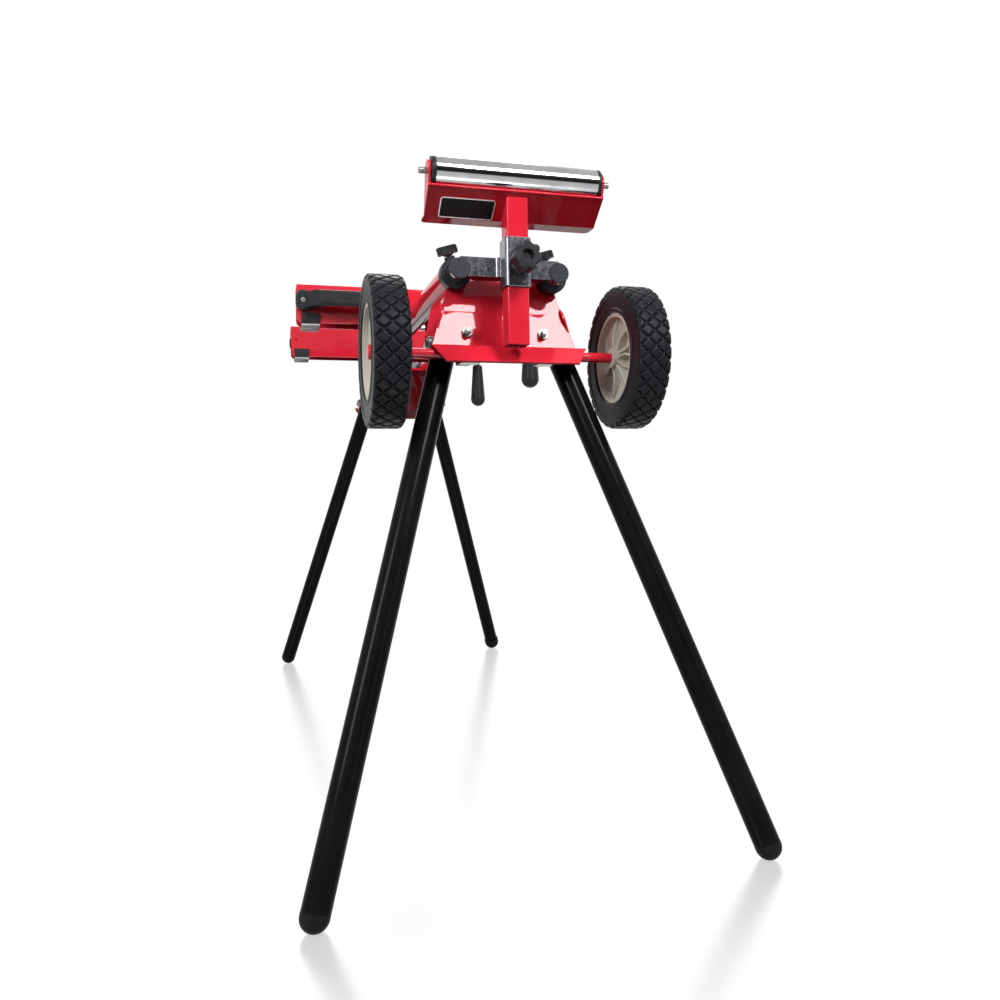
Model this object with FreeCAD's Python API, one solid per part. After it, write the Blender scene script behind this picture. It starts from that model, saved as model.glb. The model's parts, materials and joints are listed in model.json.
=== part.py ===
import FreeCAD, Part
import math
import os

# Folding stand for a miter saw: two rails on four folding legs, a pair of wheels at one end,
# a pull-out arm with a work roller at each end, and two clamp-on mounts for the saw.
# Millimetres. X runs across the stand (the user stands at -X), Y runs along it away from the
# wheels, Z is up, and the origin is on the floor under the middle of the rails.

# Fits shared by the pieces
slide_gap = 0.3          # between parts that slide along each other
running_gap = 0.05       # between a shaft and its hole, on the radius
seat_gap = 0.02          # between a plug and the tube it is pressed into, on the radius

# Rails
rail_od = 38.0
rail_wall = 2.0
rail_length = 996.0
rail_spacing = 141.0
rail_axis_z = 787.0

# Collars that close the rail ends and guide the arms
collar_od = 43.0
collar_length = 20.0
collar_spigot = 12.0
collar_rounding = 2.0
collar_boss_d = 15.0
collar_boss_height = 3.0

# Wing knobs that lock the arms in the collars
wing_lean = 17.0         # degrees from upright, towards the user
wing_stem_d = 8.0
wing_span = 30.0
wing_width = 11.0
wing_height = 11.0
wing_neck_d = 14.0
wing_neck_height = 2.0
wing_stem_show = 2.5     # bare stem between the collar boss and the knob

# Pull-out arms
arm_od = 28.0
arm_wall = 1.8
arm_middle_room = 65.0   # arm's inner end from the stand's middle, pushed home
arm_cap_od = 28.6
arm_cap_thick = 4.0
arm_plug_length = 14.0
arm_glide_length = 12.0
crossbar_height = 26.0
crossbar_depth = 25.0
crossbar_lift = 3.0      # crossbar's middle above the rails' axes
crossbar_stop_gap = 4.0  # left between the crossbar and the collars when pushed home
arm_tube_inset = 3.0     # tube's end inside the crossbar's outer face

# Head post and the sleeve that holds it
post_size = 30.0
post_wall = 2.0
post_corner = 3.0
post_bottom_z = 680.0
sleeve_wall = 2.7
sleeve_height = 66.0
sleeve_bottom_z = 756.5
sleeve_boss_d = 18.0
sleeve_boss_height = 8.0
sleeve_standoff = 5.0    # sleeve ahead of the crossbar's face

# Star knob that clamps the post
star_lobes = 7
star_od = 39.0
star_lobe_d = 11.0
star_thick = 24.0
star_core_d = 33.0
star_recess_d = 16.0
star_recess_depth = 6.0
star_neck_d = 17.0
star_neck_length = 10.0
star_stud_d = 8.0
star_z = 788.0
star_rounding = 2.5

# Work roller and its tray
roller_od = 38.0
roller_wall = 1.5
roller_length = 233.0
roller_end_thick = 6.0
roller_end_rounding = 2.0
roller_spigot = 14.0
roller_pin_d = 8.0
roller_pin_length = 262.0
roller_lead = 11.0       # roller axis ahead of the post's centre
roller_over_hem = 22.0   # roller axis above the tray's front edge
tray_thick = 2.0
tray_hem_d = 4.0
tray_hem_lead = 8.0      # tray's front edge ahead of the roller axis
tray_wall_run = 36.0
tray_wall_drop = 28.5
tray_lip = 27.0
tray_corner = 8.0
ear_thick = 3.0
ear_radius = 14.0
ear_side_gap = 1.0
post_to_hem = 199.0      # post's foot to the tray's front edge
post_top_gap = 1.0       # post's top below the tray's front edge

# Leg brackets
plate = 3.0
bracket_half_width = 106.0
bracket_bottom_z = 684.0
bracket_fold_z = 737.0
bracket_fold_back = 15.5     # how far the lower slope leans back
bracket_top_back = 6.0       # how far the upper slope leans back
bracket_depth = 112.0        # length of the top plate under the rails
bracket_setback = 1.0        # bracket's top edge behind the rail's end
side_cut_run = 53.0          # slanted rear edge of the side plates, along the bottom
side_cut_rise = 78.0         # and up the rear
shelf_depth = 23.0           # turned out at the foot of the lower slope
flange_flare = 20.0          # flange's lower edge ahead of its upper one
flange_height = 24.0
flange_bevel = 16.5
flange_overhang = 5.0        # flange past the side plates
saddle_rise = 16.0           # front sheet between the rails, above the top plate
saddle_half_width = 64.0
tab_drop = 18.0              # side plate round the pivot, below it
tab_width = 40.0
hanger_back = 63.0           # hanger's cheeks stop short of the bracket's rear edge
hanger_front = 14.5          # and stay behind the front sheet, clear of the axle clamps
hanger_drop = 100.0
slot_width = 13.0
slot_length = 20.0
slot_rise = 63.8             # above the leg pivot, up the side plate
slot_back = 27.5

# Legs
leg_splay = 17.0             # degrees, sideways
leg_rake = 18.0              # degrees, lengthways
leg_od = 35.0
leg_wall = 1.5
leg_head = 13.0              # tube above the pivot
leg_side_gap = 0.5
leg_pivot_z = 687.0
leg_pivot_back = 6.2         # pivot behind the bracket's top edge
pivot_bolt_d = 10.0
pivot_head_d = 18.0
pivot_head_thick = 6.0
foot_rim = 4.0
foot_plug = 30.0
level_foot_d = 39.0
level_foot_rim = 10.0
level_stud_d = 12.0
level_stud_length = 45.0
level_insert = 25.0
level_gap = 4.0              # tube end to the levelling foot when screwed home

# Wheels and axle
wheel_d = 203.2
tyre_width = 47.0
rim_d = 128.0
tread_rows = 31              # diamond blocks round the tyre
tread_pitch = 22.0           # between every other column of blocks, across the tyre
tread_groove = 2.6
tread_depth = 3.2
tread_root = 1.0             # block's foot sunk in the carcass
shoulder_run = 6.5           # rounding of the tread's edges
shoulder_drop = 5.0
bead_inset = 2.5             # tyre's inner edge behind its side
side_ring = 1.0              # depth of the ring pressed into each side
side_ring_edge = 6.0         # plain edge inside and outside that ring
hub_width = 42.0
hub_rim_thick = 5.0
hub_draft = 1.5              # rim's taper towards the web
hub_web_thick = 4.0
hub_web_rim = 14.0           # web's outer face from the wheel's middle, at the rim
hub_web_boss = 9.0           # and at the boss
hub_boss_d = 34.0
hub_boss_tip_d = 27.0
hub_boss_in = 25.0           # boss from the wheel's middle, towards the bracket
hub_boss_out = 14.0          # and outwards
hub_ribs = 7
hub_rib_thick = 3.2
hub_rib_top = 19.0           # rib's edge from the wheel's middle at the boss
hub_rib_rim = 2.0            # and at the rim
hub_rib_bow = 9.0
wheel_track = 351.0
axle_d = 14.0
axle_z = 672.0
axle_behind_flange = 2.0     # between the axle and the back of the bracket's flange
axle_cap_d = 20.0
axle_cap_thick = 6.5
axle_end = 4.0               # axle past the hub boss
clamp_spacing = 111.0
clamp_width = 26.0
clamp_boss_r = 11.0
clamp_strap = 5.0
clamp_rise = 10.0            # strap above its bolt
clamp_bolt_d = 8.0
clamp_bolt_z = 705.0
clamp_bolt_end = 9.0
hex_head_flats = 13.0
hex_head_thick = 5.0

# Saw mounts
near_mount_y = 188.0
far_mount_y = 218.0
mount_length = 425.0
mount_width = 54.0
mount_height = 63.5
mount_wall = 2.5
mount_rise = 23.0            # mount's top over the rails
mount_bend = 3.0
mount_corner = 10.0
saw_slot_width = 8.6
saw_slot_length = 90.0
saw_slot_spacing = 190.0
saw_slot_offset = -17.5       # middle of the slots from the middle of the mount

# Carrying handles on the mounts
handle_screws = 131.0
handle_inset = 11.0          # first screw from the mount's end
handle_screw_z = 801.0
handle_reach = 38.0
handle_bar = 13.0            # bar's thickness
handle_bar_height = 25.0
handle_pad_width = 26.0
handle_pad_height = 35.0
handle_pad_thick = 11.0
handle_arch = 24.0           # run of each slanted end
handle_rounding = 4.0
screw_d = 5.0
screw_head_d = 10.0
screw_head_thick = 3.0

# Feet on the mounts
mount_foot_width = 30.0
mount_foot_inset = 7.0
mount_foot_cheek = 3.0
mount_foot_cheek_height = 16.0
mount_foot_lip_height = 6.0
mount_foot_floor = 2.5
mount_foot_pad = 3.5
mount_foot_depth = 20.0
mount_foot_end_room = 27.0   # lever room past the far foot

# Clamp levers
lever_from_end = 13.0        # pivot from the mount's end
lever_pin_d = 8.0
lever_pin_head_d = 12.8
lever_cam_r = 10.0
lever_cam_offset = 3.0
lever_cam_width = 22.0
lever_neck_d = 11.0
lever_grip_start = 29.0      # below the pivot
lever_grip_length = 93.0
lever_grip_top_d = 21.0
lever_grip_d = 32.0
shoe_height = 18.0
shoe_reach = 34.2            # rail's side to the cam
shoe_bore_room = 0.4

# Places worked out from the sizes above
LEFT, RIGHT = -1, 1
full_turn = 360.0
along_x = FreeCAD.Vector(1, 0, 0)
along_y = FreeCAD.Vector(0, 1, 0)
along_z = FreeCAD.Vector(0, 0, 1)
rail_x = rail_spacing / 2
rail_r = rail_od / 2
rail_bore_r = rail_r - rail_wall
rail_top_z = rail_axis_z + rail_r
rail_end_y = rail_length / 2
arm_r = arm_od / 2
arm_bore_r = arm_r - arm_wall
collar_face_y = rail_end_y + collar_length
crossbar_back_y = collar_face_y + crossbar_stop_gap
crossbar_face_y = crossbar_back_y + crossbar_depth
arm_end_y = crossbar_face_y - arm_tube_inset
arm_length = arm_end_y - arm_middle_room
sleeve_size = post_size + 2 * (slide_gap + sleeve_wall)
post_y = crossbar_face_y + sleeve_standoff + sleeve_size / 2
post_face_y = post_y + post_size / 2
sleeve_face_y = post_y + sleeve_size / 2
roller_y = post_y + roller_lead
hem_y = roller_y + tray_hem_lead
hem_z = post_bottom_z + post_to_hem
roller_z = hem_z + roller_over_hem
bracket_top_z = rail_axis_z - rail_r
bracket_top_y = rail_end_y - bracket_setback
bracket_fold_y = bracket_top_y + bracket_top_back
bracket_bottom_y = bracket_fold_y + bracket_fold_back
bracket_rear_y = bracket_top_y - bracket_depth
flange_top_y = bracket_bottom_y + shelf_depth
flange_lean = math.atan2(flange_flare, flange_height)
splay = math.radians(leg_splay)
rake = math.radians(leg_rake)
leg_r = leg_od / 2
pivot_plate_x = bracket_half_width - (leg_pivot_z - bracket_bottom_z) * math.tan(splay)
leg_pivot_x = pivot_plate_x - (plate + leg_side_gap + leg_r) / math.cos(splay)
leg_pivot_y = bracket_top_y - leg_pivot_back
axle_r = axle_d / 2
axle_drop = bracket_bottom_z - axle_z
axle_room = plate + axle_behind_flange + axle_r - axle_drop * math.sin(flange_lean)
axle_back = axle_room / math.cos(flange_lean)
axle_y = flange_top_y - axle_back
mount_top_z = rail_top_z + mount_rise
mount_bottom_z = mount_top_z - mount_height
lever_x = rail_x + rail_r + shoe_reach + slide_gap + lever_cam_r + lever_cam_offset
lever_z = rail_axis_z
mount_far_end = lever_x + lever_from_end
mount_user_end = mount_far_end - mount_length
saw_slot_middle = (mount_user_end + mount_far_end) / 2 + saw_slot_offset


def point(x, y, z):
    return FreeCAD.Vector(x, y, z)


def rod(start, direction, radius, length):
    return Part.makeCylinder(radius, length, start, direction)


def tube(start, direction, outer_r, inner_r, length):
    return rod(start, direction, outer_r, length).cut(rod(start, direction, inner_r, length))


def block(low, high):
    size = high - low
    return Part.makeBox(size.x, size.y, size.z, low)


def prism(corners, sweep):
    return Part.Face(Part.makePolygon(corners + corners[:1])).extrude(sweep)


def prism_yz(corners, x_from, x_to):
    return prism([point(x_from, y, z) for y, z in corners], along_x * (x_to - x_from))


def prism_xz(corners, y_from, y_to):
    return prism([point(x, y_from, z) for x, z in corners], along_y * (y_to - y_from))


def prism_xy(corners, z_from, z_to):
    return prism([point(x, y, z_from) for x, y in corners], along_z * (z_to - z_from))


def joined(first, *others):
    return first.fuse(list(others)).removeSplitter()


def group(*shapes):
    return Part.makeCompound(list(shapes))


def across(shape):
    return shape.mirror(point(0, 0, 0), along_x)


def other_end(shape):
    return shape.mirror(point(0, 0, 0), along_y)


def edges_along(shape, direction):
    found = []
    for edge in shape.Edges:
        run = edge.Vertexes[-1].Point - edge.Vertexes[0].Point
        if run.Length > 0 and run.cross(direction).Length < 1e-6 * run.Length:
            found.append(edge)
    return found


def round_bar(x_size, y_size, bottom, height, corner):
    low = bottom - point(x_size / 2, y_size / 2, 0)
    bar = block(low, low + point(x_size, y_size, height))
    return bar.makeFillet(corner, edges_along(bar, along_z))


def slot_prism(middle, long_way, through, length, width, depth):
    # A round-ended bar from the middle point, along the direction it is cut through.
    side = long_way.cross(through)
    half_run = (length - width) / 2
    near_end = middle - long_way * half_run
    far_end = middle + long_way * half_run
    half = side * (width / 2)
    corners = [near_end - half, far_end - half, far_end + half, near_end + half]
    ends = [rod(near_end, through, width / 2, depth), rod(far_end, through, width / 2, depth)]
    return joined(prism(corners, through * depth), *ends)


def hex_head(start, direction, flats, thick):
    # A six-sided bolt head or nut standing on its start point.
    side = direction.cross(along_x)
    if side.Length < 0.5:
        side = direction.cross(along_z)
    side.normalize()
    turned = direction.cross(side)
    reach = flats / math.sqrt(3)
    corners = []
    for step in range(6):
        angle = math.radians(60 * step)
        corners.append(start + (side * math.cos(angle) + turned * math.sin(angle)) * reach)
    return prism(corners, direction * thick)


# The rails are round tubes side by side.
def make_rail(side):
    return tube(point(side * rail_x, -rail_end_y, rail_axis_z), along_y, rail_r, rail_bore_r, rail_length)


# Everything at the two ends is drawn at the far end (+Y) and mirrored for the wheel end.
def wing_axis():
    lean = math.radians(wing_lean)
    return point(-math.sin(lean), 0, math.cos(lean))


def wing_foot(side):
    return point(side * rail_x, rail_end_y + collar_length / 2, rail_axis_z)


collar_boss_top = collar_od / 2 + collar_boss_height


def make_collar(side):
    start = point(side * rail_x, rail_end_y, rail_axis_z)
    ring = rod(start, along_y, collar_od / 2, collar_length)
    ring = ring.makeFillet(collar_rounding, [ring.Edges[0], ring.Edges[2]])
    spigot = rod(start - along_y * collar_spigot, along_y, rail_bore_r - seat_gap, collar_spigot)
    boss = rod(wing_foot(side), wing_axis(), collar_boss_d / 2, collar_boss_top)
    bore_length = collar_length + collar_spigot
    bore = rod(start - along_y * collar_spigot, along_y, arm_r + slide_gap, bore_length)
    stem_hole = rod(wing_foot(side), wing_axis(), wing_stem_d / 2 + running_gap, collar_boss_top)
    return joined(ring, spigot, boss).cut(bore).cut(stem_hole)


def make_wing_knob(side):
    axis = wing_axis()
    foot = wing_foot(side)
    wide = axis.cross(along_y)
    stem_from = arm_r + 2 * slide_gap
    neck_from = collar_boss_top + wing_stem_show
    wings_from = neck_from + wing_neck_height
    stem = rod(foot + axis * stem_from, axis, wing_stem_d / 2, wings_from - stem_from)
    neck = rod(foot + axis * neck_from, axis, wing_neck_d / 2, wing_neck_height + wing_height / 2)
    middle = foot + axis * wings_from
    wings = slot_prism(middle, wide, axis, wing_span, wing_width, wing_height)
    top = wings_from + wing_height
    wings = wings.makeFillet(wing_width / 5, [e for e in wings.Edges if on_level(e, foot, axis, top)])
    return joined(stem, neck, wings)


def on_level(edge, foot, axis, height):
    return all(abs((v.Point - foot).dot(axis) - height) < 1e-6 for v in edge.Vertexes)


# Pull-out arm: two tubes, their plugs, the crossbar and the sleeve for the post.
def make_arm_tube(side):
    start = point(side * rail_x, arm_end_y - arm_length, rail_axis_z)
    return tube(start, along_y, arm_r, arm_bore_r, arm_length)


def make_arm_cap(side):
    end = point(side * rail_x, arm_end_y, rail_axis_z)
    disc = rod(end, along_y, arm_cap_od / 2, arm_cap_thick)
    disc = disc.makeFillet(arm_cap_thick / 3, [disc.Edges[0]])
    plug = rod(end - along_y * arm_plug_length, along_y, arm_bore_r - seat_gap, arm_plug_length)
    return joined(disc, plug)


def make_arm_glide(side):
    end = point(side * rail_x, arm_end_y - arm_length, rail_axis_z)
    glide = rod(end - along_y * arm_glide_length, along_y, rail_bore_r - slide_gap, arm_glide_length)
    plug = rod(end, along_y, arm_bore_r - seat_gap, arm_plug_length)
    return joined(glide, plug)


def make_crossbar():
    low = point(-rail_x, crossbar_back_y, rail_axis_z + crossbar_lift - crossbar_height / 2)
    bar = block(low, low + point(rail_spacing, crossbar_depth, crossbar_height))
    seat_low = point(-sleeve_size / 2, crossbar_face_y, low.z)
    bar = joined(bar, block(seat_low, seat_low + point(sleeve_size, sleeve_standoff, crossbar_height)))
    for side in (LEFT, RIGHT):
        bend_x = side * (sleeve_size / 2 + sleeve_standoff)
        bend_y = crossbar_face_y + sleeve_standoff
        corner = [(side * sleeve_size / 2, crossbar_face_y), (bend_x, crossbar_face_y),
                  (bend_x, bend_y), (side * sleeve_size / 2, bend_y)]
        web = prism_xy(corner, low.z, low.z + crossbar_height)
        hollow = rod(point(bend_x, bend_y, low.z), along_z, sleeve_standoff, crossbar_height)
        bar = joined(bar, web.cut(hollow))
        seat = rod(point(side * rail_x, crossbar_back_y, rail_axis_z), along_y, arm_r, crossbar_depth)
        seat_from = point(side * rail_x, arm_end_y, rail_axis_z)
        cap_seat = rod(seat_from, along_y, arm_cap_od / 2, crossbar_depth)
        bar = bar.cut(seat).cut(cap_seat)
    return bar


def make_sleeve():
    bottom = point(0, post_y, sleeve_bottom_z)
    inner = sleeve_size - 2 * sleeve_wall
    outside = round_bar(sleeve_size, sleeve_size, bottom, sleeve_height, post_corner + sleeve_wall)
    inside = round_bar(inner, inner, bottom, sleeve_height, post_corner)
    boss = rod(point(0, sleeve_face_y, star_z), along_y, sleeve_boss_d / 2, sleeve_boss_height)
    hole_from = point(0, post_y, star_z)
    hole_length = sleeve_size / 2 + sleeve_boss_height
    hole = rod(hole_from, along_y, star_stud_d / 2 + running_gap, hole_length)
    return joined(outside, boss).cut(inside).cut(hole)


def make_star_knob():
    neck_from = sleeve_face_y + sleeve_boss_height + slide_gap
    back_y = neck_from + star_neck_length
    stud_from = post_face_y + slide_gap
    stud = rod(point(0, stud_from, star_z), along_y, star_stud_d / 2, back_y - stud_from)
    neck = rod(point(0, neck_from, star_z), along_y, star_neck_d / 2, star_neck_length)
    core = rod(point(0, back_y, star_z), along_y, star_core_d / 2, star_thick)
    lobes = []
    for step in range(star_lobes):
        angle = 2 * math.pi * step / star_lobes
        reach = (star_od - star_lobe_d) / 2
        start = point(reach * math.sin(angle), back_y, star_z + reach * math.cos(angle))
        lobes.append(rod(start, along_y, star_lobe_d / 2, star_thick))
    body = joined(core, *lobes)
    face_y = back_y + star_thick
    rim = [e for e in body.Edges if all(abs(v.Point.y - face_y) < 1e-6 for v in e.Vertexes)]
    body = body.makeFillet(star_rounding, rim)
    recess_from = point(0, face_y - star_recess_depth, star_z)
    recess = rod(recess_from, along_y, star_recess_d / 2, star_recess_depth)
    return joined(body, neck, stud).cut(recess)


# Roller head: the tray is one bent sheet with an ear at each end, welded on the post.
def tray_line(lift):
    # The tray's section as (y, z) corners, raised square to the sheet.
    slope = math.hypot(tray_wall_run, tray_wall_drop)
    foot_y = hem_y - tray_wall_run
    foot_z = hem_z - tray_wall_drop
    hem = (hem_y - lift * tray_wall_drop / slope, hem_z + lift * tray_wall_run / slope)
    bend_shift = lift * (slope - tray_wall_run) / tray_wall_drop
    return [hem, (foot_y - bend_shift, foot_z + lift), (foot_y - tray_lip, foot_z + lift)]


head_half = roller_length / 2 + ear_side_gap + ear_thick


def make_tray():
    under = tray_line(0)
    over = tray_line(tray_thick)
    sheet = prism_yz(under + over[::-1], -head_half, head_half)
    hem_at = point(-head_half, hem_y, hem_z + tray_hem_d / 2)
    hem = rod(hem_at, along_x, tray_hem_d / 2, 2 * head_half)
    lip_y = under[2][0]
    corners = [e for e in edges_along(sheet, along_z) if abs(e.Vertexes[0].Point.y - lip_y) < tray_thick / 2]
    sheet = sheet.makeFillet(tray_corner, corners)
    ears = [make_ear(side) for side in (LEFT, RIGHT)]
    return joined(sheet, hem, *ears)


def make_ear(side):
    inner_x = side * (head_half - ear_thick)
    outer_x = side * head_half
    wall = tray_line(tray_thick / 2)
    outline = [(roller_y + ear_radius, roller_z), wall[0], wall[1], (roller_y - ear_radius, roller_z)]
    skirt = prism_yz(outline, inner_x, outer_x)
    low_x = min(inner_x, outer_x)
    head = rod(point(low_x, roller_y, roller_z), along_x, ear_radius, ear_thick)
    hole = rod(point(low_x, roller_y, roller_z), along_x, roller_pin_d / 2 + seat_gap, ear_thick)
    return joined(skirt, head).cut(hole)


def make_post():
    bottom = point(0, post_y, post_bottom_z)
    height = hem_z - post_top_gap - post_bottom_z
    inner = post_size - 2 * post_wall
    outside = round_bar(post_size, post_size, bottom, height, post_corner)
    inside = round_bar(inner, inner, bottom, height, post_corner - post_wall / 2)
    under = tray_line(0)
    top_z = bottom.z + height
    cover = under + [(under[2][0], top_z + post_size), (under[0][0], top_z + post_size)]
    reach = post_size
    return outside.cut(inside).cut(prism_yz(cover, -reach, reach))


def make_roller():
    length = roller_length - 2 * roller_end_thick
    start = point(-length / 2, roller_y, roller_z)
    return tube(start, along_x, roller_od / 2, roller_od / 2 - roller_wall, length)


def make_roller_end():
    seat_x = roller_length / 2 - roller_end_thick
    seat = point(seat_x, roller_y, roller_z)
    rim = rod(seat, along_x, roller_od / 2, roller_end_thick)
    rim = rim.makeFillet(roller_end_rounding, [rim.Edges[0]])
    spigot_r = roller_od / 2 - roller_wall - seat_gap
    spigot = rod(seat - along_x * roller_spigot, along_x, spigot_r, roller_spigot)
    bore_length = roller_spigot + roller_end_thick
    bore = rod(seat - along_x * roller_spigot, along_x, roller_pin_d / 2 + running_gap, bore_length)
    return joined(rim, spigot).cut(bore)


def make_roller_pin():
    pin_from = point(-roller_pin_length / 2, roller_y, roller_z)
    return rod(pin_from, along_x, roller_pin_d / 2, roller_pin_length)


# Leg bracket: a bent and welded sheet, open below and behind, with a hanger for the legs inside.
def plate_x(z, inset):
    # Half width at a height of a sheet face that lies parallel to the side plates.
    lean = (z - bracket_bottom_z) * math.tan(splay)
    return bracket_half_width - lean - inset / math.cos(splay)


def bracket_block(front_inset, top_inset, side_inset, bottom_z, rear_y):
    slope = math.hypot(bracket_fold_back, bracket_fold_z - bracket_bottom_z)
    back = front_inset * slope / (bracket_fold_z - bracket_bottom_z)
    lower_lean = bracket_fold_back / (bracket_fold_z - bracket_bottom_z)
    bottom_y = bracket_bottom_y - back + (bracket_bottom_z - bottom_z) * lower_lean
    section = [(bottom_y, bottom_z), (bracket_fold_y - back, bracket_fold_z),
               (bracket_top_y - back, bracket_top_z - top_inset), (rear_y, bracket_top_z - top_inset),
               (rear_y, bottom_z)]
    reach = bracket_half_width + bracket_bottom_z
    long_block = prism_yz(section, -reach, reach)
    top_z = bracket_top_z
    width = [(-plate_x(bottom_z, side_inset), bottom_z), (plate_x(bottom_z, side_inset), bottom_z),
             (plate_x(top_z, side_inset), top_z), (-plate_x(top_z, side_inset), top_z)]
    return long_block.common(prism_xz(width, rear_y, bottom_y))


def make_bracket(has_axle):
    shell = bracket_block(0, 0, 0, bracket_bottom_z, bracket_rear_y)
    hollow_bottom = bracket_bottom_z - flange_height
    shell = shell.cut(bracket_block(plate, plate, plate, hollow_bottom, bracket_rear_y - plate))
    rear_cut = [(bracket_rear_y, bracket_bottom_z), (bracket_rear_y + side_cut_run, bracket_bottom_z),
                (bracket_rear_y, bracket_bottom_z + side_cut_rise)]
    shell = shell.cut(prism_yz(rear_cut, -2 * bracket_half_width, 2 * bracket_half_width))
    tabs = [make_pivot_tab(side) for side in (LEFT, RIGHT)]
    bracket = joined(shell, make_flange(), make_hanger(), make_saddle(), *tabs)
    for side in (LEFT, RIGHT):
        seat, normal = pivot_frame(side)
        reach = 2 * leg_od
        hole = rod(seat - normal * reach, normal, pivot_bolt_d / 2 + seat_gap, 2 * reach)
        up_plate = point(-side * math.sin(splay), 0, math.cos(splay))
        middle = seat + up_plate * slot_rise - along_y * slot_back
        slot = slot_prism(middle, up_plate, normal, slot_length, slot_width, leg_od)
        bracket = bracket.cut(hole).cut(slot)
        if has_axle:
            start, outward = clamp_bolt_frame(side)
            bolt_hole = rod(start - outward * leg_r, outward, clamp_bolt_d / 2 + seat_gap, leg_od)
            bracket = bracket.cut(bolt_hole)
    return bracket


def make_flange():
    # The foot of the front sheet: turned out into a narrow shelf, then flared down.
    half_top = bracket_half_width + flange_overhang
    half_bottom = half_top - flange_bevel
    lean = bracket_fold_back / (bracket_fold_z - bracket_bottom_z)
    inner_y = bracket_bottom_y + plate * lean - plate * math.hypot(1, lean)
    outline = [(-bracket_half_width, inner_y), (bracket_half_width, inner_y),
               (half_top, flange_top_y), (-half_top, flange_top_y)]
    shelf = prism_xy(outline, bracket_bottom_z - plate, bracket_bottom_z)
    low_y = flange_top_y + flange_flare
    low_z = bracket_bottom_z - flange_height
    face = [point(-half_top, flange_top_y, bracket_bottom_z), point(half_top, flange_top_y, bracket_bottom_z),
            point(half_bottom, low_y, low_z), point(-half_bottom, low_y, low_z)]
    inwards = point(0, -math.cos(flange_lean), -math.sin(flange_lean))
    return joined(shelf, prism(face, inwards * plate))


def make_saddle():
    # The front sheet carried on up between the rails and cut out round them.
    lean = bracket_top_back / (bracket_top_z - bracket_fold_z)
    back = plate * math.hypot(1, lean)
    low_z = bracket_top_z - plate
    high_z = bracket_top_z + saddle_rise
    low_y = bracket_top_y + lean * plate
    high_y = bracket_top_y - lean * saddle_rise
    section = [(low_y, low_z), (high_y, high_z), (high_y - back, high_z), (low_y - back, low_z)]
    sheet = prism_yz(section, -saddle_half_width, saddle_half_width)
    for side in (LEFT, RIGHT):
        rail_from = point(side * rail_x, 0, rail_axis_z)
        sheet = sheet.cut(rod(rail_from, along_y, rail_r + slide_gap, rail_length))
    return sheet


def make_pivot_tab(side):
    # A round-ended tab of the side plate below the leg's pivot.
    seat, normal = pivot_frame(side)
    outer = leg_r + leg_side_gap + plate
    down_plate = point(side * math.sin(splay), 0, -math.cos(splay))
    middle = seat + normal * (outer - plate) - down_plate * (tab_width / 2)
    return slot_prism(middle, down_plate, normal, tab_width + 2 * tab_drop, tab_width, plate)


def make_hanger():
    # A cheek plate on the inner side of each leg and the sheet that carries both under the top plate.
    inset = 2 * plate + leg_od + 2 * leg_side_gap
    top_z = bracket_top_z - plate
    low_z = bracket_top_z - hanger_drop
    front_y = bracket_bottom_y
    rear_y = bracket_rear_y + hanger_back
    outer = [(-plate_x(low_z, inset - plate), low_z), (plate_x(low_z, inset - plate), low_z),
             (plate_x(top_z, inset - plate), top_z), (-plate_x(top_z, inset - plate), top_z)]
    inner = [(-plate_x(low_z, inset), low_z), (plate_x(low_z, inset), low_z),
             (plate_x(top_z - plate, inset), top_z - plate),
             (-plate_x(top_z - plate, inset), top_z - plate)]
    sheet = prism_xz(outer, rear_y, front_y).cut(prism_xz(inner, rear_y, front_y))
    return sheet.common(bracket_block(hanger_front, plate, 0, low_z, rear_y))


def pivot_frame(side):
    # Pivot point on a leg's axis and the outward direction of its pivot bolt.
    seat = point(side * leg_pivot_x, leg_pivot_y, leg_pivot_z)
    return seat, point(side * math.cos(splay), 0, math.sin(splay))


def make_pivot_bolt(side):
    seat, normal = pivot_frame(side)
    outer = leg_r + leg_side_gap + plate
    shank_from = seat - normal * (outer + pivot_head_thick)
    shank = rod(shank_from, normal, pivot_bolt_d / 2, 2 * outer + pivot_head_thick)
    head = rod(seat + normal * outer, normal, pivot_head_d / 2, pivot_head_thick)
    head = head.makeFillet(pivot_head_thick / 2, [head.Edges[0]])
    nut = hex_head(seat - normal * outer, normal * -1, pivot_head_d - 2, pivot_head_thick)
    return joined(shank, head, nut)


# Legs: a straight tube on its pivot bolt, with a domed foot.
def leg_direction(side):
    down = point(side * math.sin(splay), 0, -math.cos(splay))
    return down * math.cos(rake) + along_y * math.sin(rake)


def leg_span(dome_r):
    # Pivot to the middle of a dome of this radius that stands on the floor.
    return (leg_pivot_z - dome_r) / (math.cos(splay) * math.cos(rake))


def make_leg(side, end_gap):
    seat, normal = pivot_frame(side)
    down = leg_direction(side)
    length = leg_head + leg_span(leg_r) - end_gap
    leg = tube(seat - down * leg_head, down, leg_r, leg_r - leg_wall, length)
    hole = rod(seat - normal * leg_od, normal, pivot_bolt_d / 2 + running_gap, 2 * leg_od)
    return leg.cut(hole)


def make_foot(side):
    seat, _ = pivot_frame(side)
    down = leg_direction(side)
    dome_at = seat + down * leg_span(leg_r)
    dome = Part.makeSphere(leg_r, dome_at)
    rim = rod(dome_at - down * foot_rim, down, leg_r, foot_rim)
    plug = rod(dome_at - down * (foot_rim + foot_plug), down, leg_r - leg_wall - seat_gap, foot_plug)
    above = rod(dome_at - down * (foot_rim + leg_r), down, leg_od, foot_rim + leg_r)
    return joined(dome.cut(above), rim, plug)


level_foot_r = level_foot_d / 2
level_dome_span = leg_span(level_foot_r)
level_tube_end_gap = leg_span(leg_r) - level_dome_span + level_foot_rim + level_gap


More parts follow.
